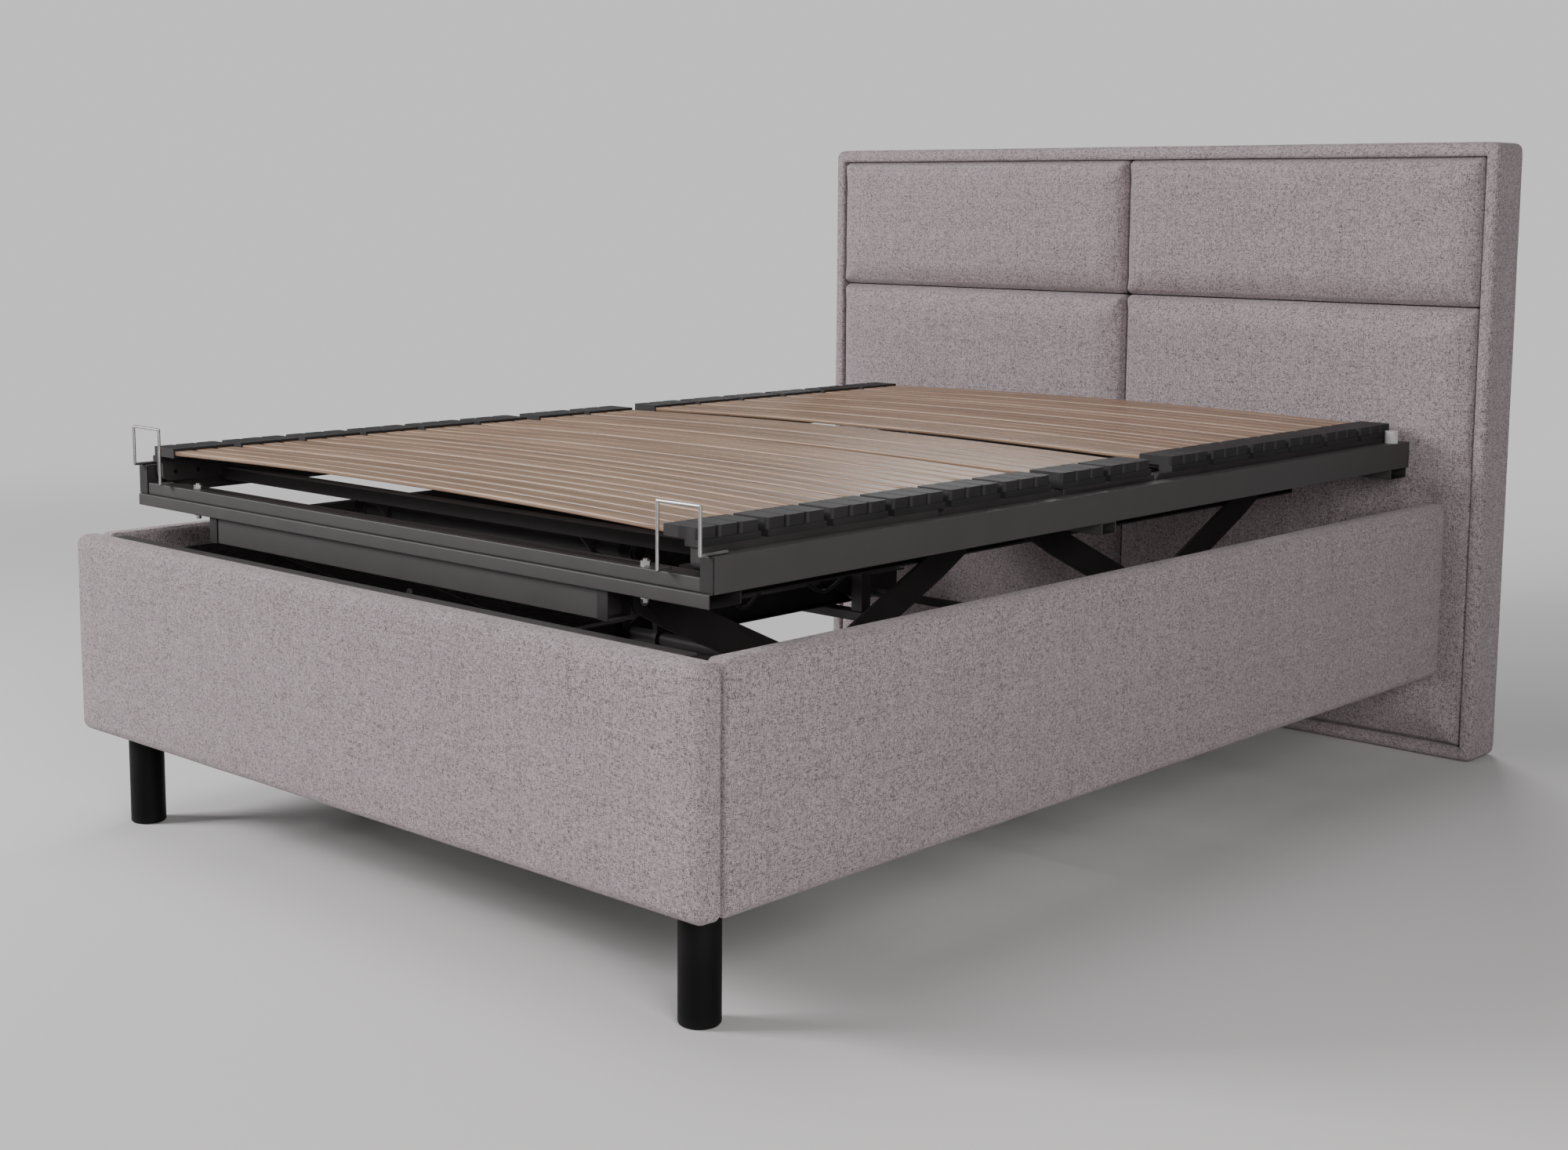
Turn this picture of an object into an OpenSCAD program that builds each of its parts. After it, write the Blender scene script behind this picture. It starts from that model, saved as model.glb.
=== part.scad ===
// Adjustable bed base: an upholstered box bed with a tall headboard. A slatted mattress frame in
// four sections rides on two scissor lifts inside the box. X runs across the bed, +Y runs to the
// headboard and +Z is up. The origin is on the floor under the middle of the bed. Inside the
// modules, y counts from the outer face of the foot panel.

/* [Upholstered box] */
// Width of the box over its padding
box_w = 1538; // [1280:2:1860]
// Length of the box from the foot face to the headboard
box_len = 2080; // [1720:2:2500]
// Height of the top edge of the box
box_top = 513; // [480:1:560]
// Thickness of a padded panel
panel_t = 42; // [34:1:56]
// Thickness of the board in a panel
board_t = 22; // [15:1:28]
// Radius of the padded long edges
panel_round = 16; // [6:1:18]
// Thickness of padding over the board's top and bottom edges
pad_lip = 12; // [6:1:16]

/* [Legs] */
// Height of the legs, which is the height of the box's lower edge
leg_h = 165; // [120:1:190]
// Diameter of a leg
leg_d = 60; // [40:1:70]
// Distance from a leg's centre to the outer faces
leg_inset = 82; // [80:1:90]
// Side of the square leg plate
leg_plate = 76; // [60:1:80]
// Thickness of the leg plate
leg_plate_t = 4; // [3:0.5:6]
// Side of the wooden corner block
block_w = 100; // [80:1:120]
// Height of the wooden corner block
block_h = 60; // [40:1:70]

/* [Headboard] */
// How far the headboard stands out past the box on each side
head_overhang = 71; // [11:1:150]
// Height of the headboard
head_h = 1214; // [1010:2:1460]
// Thickness of the headboard
head_t = 111; // [92:1:134]
// Width of the padded border
border_w = 28; // [20:1:40]
// Radius of the border's edges
border_round = 14; // [6:1:16]
// Thickness of the four front pads
head_pad_t = 32; // [24:1:38]
// Height of the seam between the upper and lower pads
pad_split_z = 896; // [760:2:980]
// Width of the seam between neighbouring pads
pad_seam = 2; // [1:0.5:4]
// Thickness of the front board
head_board_t = 16; // [12:1:19]
// Thickness of the back panel
head_back_t = 4; // [3:1:8]
// Width of a batten
batten_w = 45; // [30:1:60]

/* [Mattress frame] */
// Gap between the mattress frame and the inside of the box
frame_gap = 27; // [20:1:34]
// Height of the underside of the side rails at rest
frame_z = 582; // [575:1:640]
// Distance from the foot face to the side rails
frame_inset_foot = 95; // [92:1:110]
// Distance from the headboard to the side rails
frame_inset_head = 40; // [20:1:60]
// Width of a side rail
rail_w = 25; // [20:1:30]
// Height of a side rail
rail_h = 50; // [46:1:60]
// Wall of the steel tubes
tube_wall = 2; // [1.5:0.5:3]
// Height of the cross beams
beam_h = 20; // [15:1:24]
// Depth of the upper cross beams
upper_beam_d = 40; // [30:1:46]
// Depth of the lower cross beams
lower_beam_d = 62; // [48:1:64]
// Thickness of the plastic end caps
cap_t = 2; // [1:0.5:3]
// Diameter of the beam bolts
bolt_d = 8; // [6:1:10]
// Distance from the side rails' outer face to a beam bolt
bolt_inset = 150; // [140:1:180]

/* [Slats] */
// Width of a slat
slat_w = 33; // [28:1:36]
// Thickness of a slat
slat_t = 8; // [6:0.5:10]
// Rise of a slat from its ends to its middle
slat_crown = 10; // [4:1:12]
// Distance from slat to slat in a holder
slat_pitch = 41; // [38.5:0.5:41]
// Distance from holder to holder
group_pitch = 134; // [130:1:150]
// Length of a holder
holder_len = 120; // [120:1:124]
// Width across the holder, from its outer face to the slat's mouth
holder_w = 66; // [50:1:70]
// Gap between the holders at the thigh hinge
thigh_gap = 32; // [31:1:50]
// Gap between the holders at the back hinge
back_gap = 64; // [62:1:80]

/* [Section frames] */
// Width of a section's side bar
bar_w = 20; // [16:1:24]
// Height of a section's side bar
bar_h = 34; // [30:1:36]
// Gap between a side bar and the rail
bar_gap = 10; // [8:1:14]
// Diameter of the torsion tubes
torsion_d = 28; // [22:1:30]
// Diameter of the hinge pins
hinge_pin_d = 16; // [12:1:18]
// Diameter of the knee pins
knee_pin_d = 12; // [8:1:14]

/* [Scissor lift] */
// Width of a lift arm
arm_w = 50; // [44:1:54]
// Thickness of a lift arm
arm_t = 6; // [5:1:8]
// Radius of an arm's ends
arm_end_r = 21; // [17:1:21]
// Distance from the foot face to the first lift pivots
foot_pivot_y = 161; // [155:1:175]
// Distance between the foot lift and the head lift
lift_gap = 219; // [215:1:260]
// Distance from the head lift to the headboard
lift_margin = 296; // [290:1:340]
// Height of the subframe's rails
sub_h = 44; // [44:1:46]
// Width of the subframe's rails
sub_w = 22; // [20:1:26]
// Distance from the side rails' outer face to the subframe
sub_inset = 208; // [205:1:230]
// Height of the base rails
base_rail_h = 54; // [54:1:58]
// Width of the base rails
base_rail_w = 25; // [22:1:30]
// Wall of the base rails and the subframe's rails
channel_t = 3; // [2:0.5:3]
// Height of the base cross tubes
base_tube_h = 20; // [18:1:24]
// Depth of the base cross tubes
base_tube_d = 40; // [36:1:44]
// Diameter of the cross shafts
shaft_d = 30; // [24:1:34]
// Diameter of the pivot pins
pivot_d = 16; // [12:1:18]
// Length of a drive lever
lever_len = 120; // [116:1:124]
// Angle between an arm and its lever
lever_angle = 70; // [69:1:72]
// Diameter of a spindle
spindle_d = 20; // [16:1:24]
// Height and width of a lift motor's body
motor_w = 46; // [40:1:48]
// Distance from the bed's middle to a lift motor
motor_x = 420; // [410:1:425]

/* [Hidden] */

$fn = 48;
eps = 0.01;

// Clearances: a running fit on the radius, a slide, a seat, and the open pivots
run_fit = 0.05;
slide_fit = 0.3;
open_fit = 1.2;
fork_fit = 2.6;
plane_gap = 2;
// Left between welded pieces, so that each stays a solid of its own
weld = 0.1;

// Box
half_w = box_w / 2;
inner_x = half_w - panel_t;
board_x = inner_x + board_t;
pad_t = panel_t - board_t;
head_w = box_w + 2 * head_overhang;
total_len = box_len + head_t;
bracket_t = 4;
bracket_leg = 60;
bracket_short = 22;
bracket_z = [leg_h + leg_plate_t + block_h + 11, box_top - 78];
foot_angle_d = 22;
foot_angle_h = 30;
foot_angle_z = box_top - 3;

// Headboard layers, counted from the foot face
head_y = box_len;
head_board_y = head_y + head_pad_t;
batten_y = head_board_y + head_board_t;
head_back_y = head_y + head_t - head_back_t;
field_x = head_w / 2 - border_w;
field_top = head_h - border_w;
pad_rows = [[border_w, pad_split_z - pad_seam / 2], [pad_split_z + pad_seam / 2, field_top]];
pad_round = 5;

// Base under the lifts
angle_z = leg_h + 1;
base_tube_z = angle_z + bracket_t;
base_rail_z = base_tube_z + base_tube_h;
base_pivot_z = base_rail_z + base_rail_h / 2;
angle_leg = 40;
base_y0 = 150;
base_y1 = box_len - 120;

// Mattress frame
frame_x = inner_x - frame_gap;
rail_x = frame_x - rail_w;
frame_y0 = frame_inset_foot;
frame_y1 = box_len - frame_inset_head;
lower_beam_z = frame_z - beam_h;
lower_beam_x = frame_x - 3;
bolt_x = frame_x - bolt_inset;
lower_beam_y0 = frame_y0 - 6;
lower_beam_y1 = frame_y1 - 2 - lower_beam_d;
rail_top = frame_z + rail_h;

// Subframe and the planes of the lift arms
sub_x = frame_x - sub_inset;
sub_z = lower_beam_z - sub_h;
sub_y0 = frame_y0 + 5;
sub_y1 = frame_y1 - 80;
sub_beam_d = 25;
inner_arm_x = sub_x + plane_gap;
outer_arm_x = inner_arm_x + arm_t + plane_gap;
base_rail_x = outer_arm_x + arm_t + plane_gap;

// Scissor geometry
top_pivot_z = sub_z + sub_h / 2;
lift_span = (box_len - foot_pivot_y - lift_gap - lift_margin) / 2;
lift_rise = top_pivot_z - base_pivot_z;
arm_len = norm([lift_span, lift_rise]);
arm_angle = atan2(lift_rise, lift_span);
head_pivot_y = foot_pivot_y + lift_span + lift_gap;
arm_taper = 60;
centre_pin_d = 14;
washer_d = 24;
washer_t = 3;
roller_pin_d = 12;
inner_tube_d = 20;
pivot_block_d = 40;
mid_beam_y = head_pivot_y - 97;

// Lift drive
lever_t = 12;
lever_end_r = 14;
lever_pin_d = 12;
spindle_z = base_pivot_z + lever_len - 1.3;
lever_y = lever_len * cos(arm_angle + lever_angle);
fork_r = 16;
fork_ear = 8;
spindle_len = 360;
motor_start = 74;
motor_len = 405;
motor_can_len = 100;
motor_can_d = 44;
motor_ear_len = 50;
motor_ear_t = 16;
stand_front = 79;
stand_rear = 619;

// Sections: side bars, hinge axes and slat groups
bar_x = rail_x - bar_gap - bar_w;
bar_z = frame_z + 24;
bar_top = bar_z + bar_h;
hinge_z = bar_z + bar_h / 2;
bar_end_r = bar_h / 2;
first_group_y = 160;
calf_groups = 4;
thigh_groups = 2;
seat_groups = 2;
knee_y = first_group_y + (calf_groups - 0.5) * group_pitch;
thigh_y = knee_y + (thigh_groups - 0.5) * group_pitch + (holder_len + thigh_gap) / 2;
seat_group_y = thigh_y + (holder_len + thigh_gap) / 2;
back_y = seat_group_y + (seat_groups - 1) * group_pitch + (holder_len + back_gap) / 2;
back_group_y = back_y + (holder_len + back_gap) / 2;
back_groups = floor((frame_y1 - 10 - holder_len / 2 - back_group_y) / group_pitch) + 1;
thigh_group_y = knee_y + group_pitch / 2;
bar_y0 = frame_y0 + 11;
back_bar_y1 = back_group_y + (back_groups - 1) * group_pitch + holder_len / 2;
seat_bar_gap = bar_end_r + 3;
section_tube_h = 20;
section_tube_d = 30;
knee_lug_t = 8;
calf_bar_end = knee_y - bar_end_r - 6;

// Slats and their holders
carrier_h = 10;
carrier_w = 26;
slat_seat = 3;
slat_z = bar_top + carrier_h + slat_seat;
cap_h = slat_seat + slat_t + 5;
cap_w = slat_w + 5;
holder_x1 = bar_x + bar_w + 1;
holder_x0 = holder_x1 - holder_w;
slat_x = holder_x0 + 24;
slat_steps = 16;

// Section drive between the torsion tubes
drive_x = 80;
drive_wall = 4;
drive_y0 = thigh_y - 26;
drive_y1 = back_y + 37;
drive_z = frame_z - 14;
drive_top = bar_top + 10;
drive_core = [thigh_y + 108, back_y - 118];
horn_len = 34;
horn_r = 7;
horn_w = 16;
back_horn_angle = 32.5;
thigh_horn_angle = 17.5;
slider_gap = 1;
slider_w = 24;
slider_top = hinge_z - horn_len + 1;

// Posts, retainers and fittings
post_h = 24;
post_y = frame_y1 - 50;
wire_d = 5;
calf_tube_y = 300;
calf_tube_z = frame_z - 7;
calf_tube_x = 345;
control = [150, 120, 40];
control_x = 120;
lead_d = 6;
gland_d = 14;
gland_depth = 4;
clip_d = 12;
clip_len = 10;
clip_y = [900, 700, 500, 330];
socket = [22, 40, 30];
lead_route = [[266, 1040, 540], [288, 1040, 538], [330, 1038, 530], [372, 1031, 517], [410, 1014, 510],
    [436, 988, 508], [449, 960, 514], [455, 930, 531], [456, 900, 544], [456, 860, 535], [455, 820, 524],
    [454, 780, 521], [455, 740, 532], [456, 700, 544], [456, 665, 533], [454, 630, 507], [452, 595, 491],
    [453, 560, 503], [455, 530, 533], [456, 500, 544], [456, 470, 535], [454, 440, 507], [453, 410, 489],
    [454, 380, 508], [455, 352, 536], [456, 330, 544], [456, 310, 544], [456, 290, 544]];

// --- Helpers -------------------------------------------------------------------------------

// Moves a shape from foot-face coordinates to the bed's own frame
module in_bed() translate([0, -total_len / 2, 0]) children();

// A shape on the right-hand side and its mirror image
module both_sides() { children(); mirror([1, 0, 0]) children(); }

// A shape on the right (side = 1) or the left (side = -1)
module on_side(side) { if (side > 0) children(); else mirror([1, 0, 0]) children(); }

// A box from its lowest to its highest corner
module block(a, b) translate(a) cube([b[0] - a[0], b[1] - a[1], b[2] - a[2]]);

// Turns a drawing in (y, z) into a solid that grows along +X
module along_x(x, len) translate([x, 0, 0]) rotate([90, 0, 90]) linear_extrude(len) children();

// Turns a drawing in (x, z) into a solid that grows along +Y
module along_y(y, len) translate([0, y + len, 0]) rotate([90, 0, 0]) linear_extrude(len) children();

// A round bar along X, Y or Z
module bar_along_x(x0, x1, y, z, d) translate([x0, y, z]) rotate([0, 90, 0]) cylinder(h = x1 - x0, d = d);
module bar_along_y(x, y0, y1, z, d) translate([x, y0, z]) rotate([-90, 0, 0]) cylinder(h = y1 - y0, d = d);
module bar_along_z(x, y, z0, z1, d) translate([x, y, z0]) cylinder(h = z1 - z0, d = d);

// A tube along X
module tube_along_x(x0, x1, y, z, d, wall) difference() {
    bar_along_x(x0, x1, y, z, d);
    bar_along_x(x0 - 1, x1 + 1, y, z, d - 2 * wall);
}

// The waste outside a rounded corner; dx and dy point into the shape
module corner_waste(x, y, dx, dy, r) difference() {
    translate([x + (dx > 0 ? -1 : -r), y + (dy > 0 ? -1 : -r)]) square(r + 1);
    translate([x + dx * r, y + dy * r]) circle(r);
}

// A rectangle with its own radius at each corner: low-low, high-low, high-high, low-high
module rounded_rect(a, b, r) difference() {
    translate(a) square([b[0] - a[0], b[1] - a[1]]);
    if (r[0] > 0) corner_waste(a[0], a[1], 1, 1, r[0]);
    if (r[1] > 0) corner_waste(b[0], a[1], -1, 1, r[1]);
    if (r[2] > 0) corner_waste(b[0], b[1], -1, -1, r[2]);
    if (r[3] > 0) corner_waste(a[0], b[1], 1, -1, r[3]);
}

// A rectangular steel tube, hollow along axis 0 (X) or 1 (Y)
module steel_tube(a, b, axis) difference() {
    block(a, b);
    w = tube_wall;
    if (axis == 0) block([a[0] - 1, a[1] + w, a[2] + w], [b[0] + 1, b[1] - w, b[2] - w]);
    else block([a[0] + w, a[1] - 1, a[2] + w], [b[0] - w, b[1] + 1, b[2] - w]);
}

// --- Upholstered box -----------------------------------------------------------------------

module board_colour() color("burlywood") children();
module fabric_colour() color([0.63, 0.59, 0.60]) children();
module steel_colour() color([0.28, 0.27, 0.28]) children();
module black_colour() color([0.08, 0.08, 0.08]) children();

module foot_board() board_colour() in_bed()
    block([-board_x, pad_t, leg_h + pad_lip], [board_x, panel_t, box_top - pad_lip]);

module side_board(side) board_colour() in_bed() on_side(side)
    block([inner_x, panel_t, leg_h + pad_lip], [board_x, box_len - pad_lip, box_top - pad_lip]);

// The foot panel's padding wraps the board's outside, ends, top and bottom
module foot_padding() fabric_colour() in_bed() difference() {
    intersection() {
        translate([0, 0, leg_h]) linear_extrude(box_top - leg_h)
            rounded_rect([-half_w, 0], [half_w, panel_t], [panel_round, panel_round, 0, 0]);
        along_x(-half_w, box_w)
            rounded_rect([0, leg_h], [panel_t, box_top], [panel_round, 0, 6, panel_round]);
    }
    block([-board_x, pad_t, leg_h + pad_lip], [board_x, panel_t + 1, box_top - pad_lip]);
}

module side_padding(side) fabric_colour() in_bed() on_side(side) difference() {
    intersection() {
        along_y(panel_t, box_len - panel_t)
            rounded_rect([inner_x, leg_h], [half_w, box_top], [0, panel_round, panel_round, 6]);
        translate([0, 0, leg_h]) linear_extrude(box_top - leg_h)
            rounded_rect([inner_x, panel_t], [half_w, box_len], [0, 0, panel_round, 0]);
        along_x(inner_x, panel_t)
            rounded_rect([panel_t, leg_h], [box_len, box_top], [0, panel_round, panel_round, 0]);
    }
    block([inner_x - 1, panel_t - 1, leg_h + pad_lip], [board_x, box_len - pad_lip, box_top - pad_lip]);
}

// --- Headboard -----------------------------------------------------------------------------

module headboard_board() board_colour() in_bed()
    block([-field_x, head_board_y, border_w], [field_x, batten_y, field_top]);

module headboard_battens() color("wheat") in_bed() {
    y = [batten_y, head_back_y];
    both_sides() block([field_x - batten_w, y[0], border_w], [field_x, y[1], field_top]);
    for (z = [border_w, pad_split_z - batten_w / 2, field_top - batten_w])
        block([-field_x + batten_w + weld, y[0], z], [field_x - batten_w - weld, y[1], z + batten_w]);
}

module headboard_back() color([0.2, 0.2, 0.2]) in_bed()
    block([-field_x, head_back_y, border_w], [field_x, head_y + head_t, field_top]);

// Four padded strips, mitred where they meet at the corners
module headboard_border() fabric_colour() in_bed() {
    half = head_w / 2;
    r = border_round;
    both_sides() intersection() {
        translate([0, head_y, 0]) linear_extrude(head_h)
            rounded_rect([field_x, 0], [half, head_t], [0, r, r, 0]);
        along_y(head_y, head_t) rounded_rect([0, 0], [half, head_h], [0, r, r, 0]);
        along_y(head_y, head_t) polygon([[field_x, border_w + weld], [half, weld],
            [half, head_h - weld], [field_x, field_top - weld]]);
    }
    intersection() {
        along_x(-half, head_w) rounded_rect([head_y, 0], [head_y + head_t, head_h], [0, 0, r, r]);
        along_y(head_y, head_t) rounded_rect([-half, 0], [half, head_h], [0, 0, r, r]);
        along_y(head_y, head_t)
            polygon([[-field_x, field_top], [field_x, field_top], [half, head_h], [-half, head_h]]);
    }
    intersection() {
        along_x(-half, head_w) rounded_rect([head_y, 0], [head_y + head_t, head_h], [r, r, 0, 0]);
        along_y(head_y, head_t) rounded_rect([-half, 0], [half, head_h], [r, r, 0, 0]);
        along_y(head_y, head_t)
            polygon([[-half, 0], [half, 0], [field_x, border_w], [-field_x, border_w]]);
    }
}

// One front pad in the lower (row = 0) or upper (row = 1) row, with its long front edges rounded
module headboard_pad(side, row) fabric_colour() in_bed() on_side(side) intersection() {
    z = pad_rows[row];
    translate([0, head_y, z[0]]) linear_extrude(z[1] - z[0])
        rounded_rect([pad_seam / 2, 0], [field_x, head_pad_t], [pad_round, pad_round, 0, 0]);
    along_x(0, field_x) rounded_rect([head_y, z[0]], [head_board_y, z[1]], [pad_round, 0, 0, pad_round]);
}

// --- Legs and brackets ---------------------------------------------------------------------

module legs() black_colour() in_bed() both_sides()
    translate([half_w - leg_inset, leg_inset, 0]) {
        cylinder(h = 3, d1 = leg_d - 4, d2 = leg_d);
        translate([0, 0, 3]) cylinder(h = leg_h - 3, d = leg_d);
    }

module leg_plates() steel_colour() in_bed() both_sides()
    translate([half_w - leg_inset - leg_plate / 2, leg_inset - leg_plate / 2, leg_h])
        cube([leg_plate, leg_plate, leg_plate_t]);

module corner_blocks() board_colour() in_bed() both_sides() {
    z = leg_h + leg_plate_t;
    block([inner_x - block_w, panel_t, z], [inner_x, panel_t + block_w, z + block_h]);
}

// Angles that join the side panels to the foot panel and to the headboard
module panel_brackets() steel_colour() in_bed() both_sides() {
    x = inner_x - bracket_t;
    block([x, panel_t, bracket_z[0]], [inner_x, panel_t + bracket_leg, bracket_z[1]]);
    block([inner_x - bracket_short, panel_t, bracket_z[0]], [x, panel_t + bracket_t, bracket_z[1]]);
    block([x, box_len - bracket_leg, bracket_z[0]], [inner_x, box_len, bracket_z[1]]);
    block([inner_x - bracket_short, box_len - bracket_t, bracket_z[0]], [x, box_len, bracket_z[1]]);
}

// The stop angle inside the foot panel, and the angles that carry the base
module support_angles() steel_colour() in_bed() {
    top = foot_angle_z;
    union() {
        block([-frame_x, panel_t, top - foot_angle_h], [frame_x, panel_t + 3, top]);
        block([-frame_x, panel_t, top - 3], [frame_x, panel_t + foot_angle_d, top]);
    }
    both_sides() union() {
        block([inner_x - bracket_t, base_y0, angle_z], [inner_x, base_y1, angle_z + angle_leg]);
        block([inner_x - angle_leg, base_y0, angle_z], [inner_x, base_y1, angle_z + bracket_t]);
    }
}

// --- Base of the lifts ---------------------------------------------------------------------

// Upright between a base cross tube and a motor, at the front or the rear of the motor
module motor_stand(y) block(
    [motor_x - 15, y - 15, base_rail_z + weld], [motor_x + 15, y + 15, spindle_z - motor_w / 2]);

module base_cross_tubes() steel_colour() in_bed() {
    reach = inner_x - bracket_t - 1;
    for (pivot = [foot_pivot_y, head_pivot_y], stand = [stand_front, stand_rear]) {
        y = pivot + stand - base_tube_d / 2;
        steel_tube([-reach, y, base_tube_z], [reach, y + base_tube_d, base_rail_z], 0);
        on_side(pivot == foot_pivot_y ? 1 : -1) motor_stand(pivot + stand);
    }
}

// Channels that open inwards, each with two bored blocks for the fixed pivots
module base_rails() steel_colour() in_bed() both_sides() {
    z = [base_rail_z, base_rail_z + base_rail_h];
    x1 = base_rail_x + base_rail_w;
    difference() {
        block([base_rail_x, base_y0 - 10, z[0]], [x1, base_y1, z[1]]);
        block([base_rail_x - 1, base_y0 - 11, z[0] + channel_t],
              [x1 - channel_t, base_y1 + 1, z[1] - channel_t]);
    }
    for (y = [foot_pivot_y, head_pivot_y]) difference() {
        block([base_rail_x, y - pivot_block_d / 2, z[0] + channel_t],
              [x1 - channel_t, y + pivot_block_d / 2, z[1] - channel_t]);
        bar_along_x(base_rail_x - 1, x1, y, base_pivot_z, pivot_d + 2 * run_fit);
    }
}

// Motor body with a bored nose for the spindle, the motor can and a rear ear
module lift_motor(pivot, side) black_colour() in_bed() on_side(side) {
    y0 = pivot + motor_start;
    y1 = y0 + motor_len;
    y2 = y1 + motor_can_len;
    half = motor_w / 2;
    difference() {
        union() {
            along_y(y0, motor_len) rounded_rect([motor_x - half, spindle_z - half],
                [motor_x + half, spindle_z + half], [6, 6, 6, 6]);
            bar_along_y(motor_x, y1, y2, spindle_z, motor_can_d);
            block([motor_x - motor_ear_t / 2, y2, spindle_z - half],
                  [motor_x + motor_ear_t / 2, y2 + motor_ear_len, spindle_z + half / 2]);
        }
        bar_along_y(motor_x, y0 - 1, y1 - 10, spindle_z, spindle_d + 2 * run_fit);
    }
}

// --- Scissor lifts -------------------------------------------------------------------------

// Outline of a lift arm from one pivot at the origin to the other on +X
module arm_outline() difference() {
    w = arm_w / 2;
    r = arm_end_r;
    union() {
        circle(r);
        translate([arm_len, 0]) circle(r);
        polygon([[0, r], [arm_taper, w], [arm_len - arm_taper, w], [arm_len, r],
                 [arm_len, -r], [arm_len - arm_taper, -w], [arm_taper, -w], [0, -r]]);
    }
    circle(d = pivot_d + 2 * run_fit);
    translate([arm_len / 2, 0]) circle(d = centre_pin_d + 2 * run_fit);
    translate([arm_len, 0]) circle(d = roller_pin_d + 2 * run_fit);
}

module arm(x, y, z, angle) translate([x, y, z]) rotate([90, 0, 90]) linear_extrude(arm_t)
    rotate(angle) arm_outline();

// Drive lever on a cross shaft, with its pin
module drive_lever(pivot, side) on_side(side) {
    a = arm_angle + lever_angle;
    end = [pivot + lever_len * cos(a), base_pivot_z + lever_len * sin(a)];
    difference() {
        translate([motor_x - lever_t / 2, pivot, base_pivot_z]) rotate([90, 0, 90]) linear_extrude(lever_t)
            rotate(a) union() {
                circle(d = shaft_d + 14);
                translate([0, -lever_end_r]) square([lever_len, 2 * lever_end_r]);
                translate([lever_len, 0]) circle(lever_end_r);
            }
        bar_along_x(motor_x - lever_t, motor_x + lever_t, pivot, base_pivot_z, shaft_d + 2 * run_fit);
        bar_along_x(motor_x - lever_t, motor_x + lever_t, end[0], end[1], lever_pin_d + 2 * run_fit);
    }
    bar_along_x(motor_x - lever_t / 2 - 10, motor_x + lever_t / 2 + 10, end[0], end[1], lever_pin_d);
}

// Two outer arms on one cross shaft, with the drive lever
module outer_arms(pivot, side) black_colour() in_bed() {
    both_sides() arm(outer_arm_x, pivot, base_pivot_z, arm_angle);
    tube_along_x(-outer_arm_x + weld, outer_arm_x - weld, pivot, base_pivot_z, shaft_d, 3);
    drive_lever(pivot, side);
}

// Base pins, centre pins with washers, and the rollers at the outer arms' upper ends
module outer_rollers(pivot) color("silver") in_bed() both_sides() {
    out = outer_arm_x + arm_t;
    mid = [pivot + lift_span / 2, (base_pivot_z + top_pivot_z) / 2];
    bar_along_x(outer_arm_x, base_rail_x + base_rail_w - channel_t - 1, pivot, base_pivot_z, pivot_d);
    bar_along_x(inner_arm_x - 1.5, out + 0.5, mid[0], mid[1], centre_pin_d);
    bar_along_x(out + 0.5, out + 0.5 + washer_t, mid[0], mid[1], washer_d);
    sliding = pivot + lift_span;
    bar_along_x(sub_x - sub_w + channel_t + 2, out, sliding, top_pivot_z, roller_pin_d);
    roller(sub_x - sub_w + channel_t + 1, sliding, top_pivot_z, sub_h - 2 * channel_t);
}

// A plastic roller that runs in a channel of the given inner height
module roller(x, y, z, height) difference() {
    bar_along_x(x, x + 15, y, z, height - 2 * slide_fit);
    bar_along_x(x - 1, x + 16, y, z, roller_pin_d + 2 * run_fit);
}

// Two inner arms, joined by a tube at their lower ends
module inner_arms(pivot) black_colour() in_bed() {
    both_sides() arm(inner_arm_x, pivot, top_pivot_z, -arm_angle);
    tube_along_x(-inner_arm_x + weld, inner_arm_x - weld, pivot + lift_span, base_pivot_z, inner_tube_d, 2);
}

// Top pins and the rollers at the inner arms' lower ends
module inner_rollers(pivot) color("silver") in_bed() both_sides() {
    sliding = pivot + lift_span;
    inside = base_rail_x + base_rail_w - channel_t;
    bar_along_x(sub_x - sub_w + channel_t + 1, inner_arm_x + arm_t, pivot, top_pivot_z, pivot_d);
    bar_along_x(inner_arm_x, inside - 1, sliding, base_pivot_z, roller_pin_d);
    roller(inside - 17, sliding, base_pivot_z, base_rail_h - 2 * channel_t);
}

// A spindle whose fork takes the lever's pin with room for the pin's small rise and fall
module spindle(pivot, side) color("silver") in_bed() on_side(side) {
    y = pivot + lever_y;
    inside = lever_t / 2 + 1;
    difference() {
        union() {
            for (x = [motor_x - inside - fork_ear, motor_x + inside]) {
                bar_along_x(x, x + fork_ear, y, spindle_z, 2 * fork_r);
                block([x, y, spindle_z - fork_r], [x + fork_ear, y + 24, spindle_z + fork_r]);
            }
            block([motor_x - inside - fork_ear, y + 22, spindle_z - fork_r],
                  [motor_x + inside + fork_ear, y + 34, spindle_z + fork_r]);
            bar_along_y(motor_x, y + 30, y + 34 + spindle_len, spindle_z, spindle_d);
        }
        bar_along_x(motor_x - 40, motor_x + 40, y, spindle_z, lever_pin_d + 2 * fork_fit);
    }
}

// --- Mattress frame and subframe -----------------------------------------------------------

module frame_rail(side) steel_colour() in_bed() on_side(side) difference() {
    steel_tube([rail_x, frame_y0, frame_z], [frame_x, frame_y1, rail_top], 1);
    for (y = [thigh_y, back_y])
        bar_along_x(rail_x - 1, rail_x + tube_wall + 1, y, hinge_z, hinge_pin_d + 2 * run_fit);
}

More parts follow.
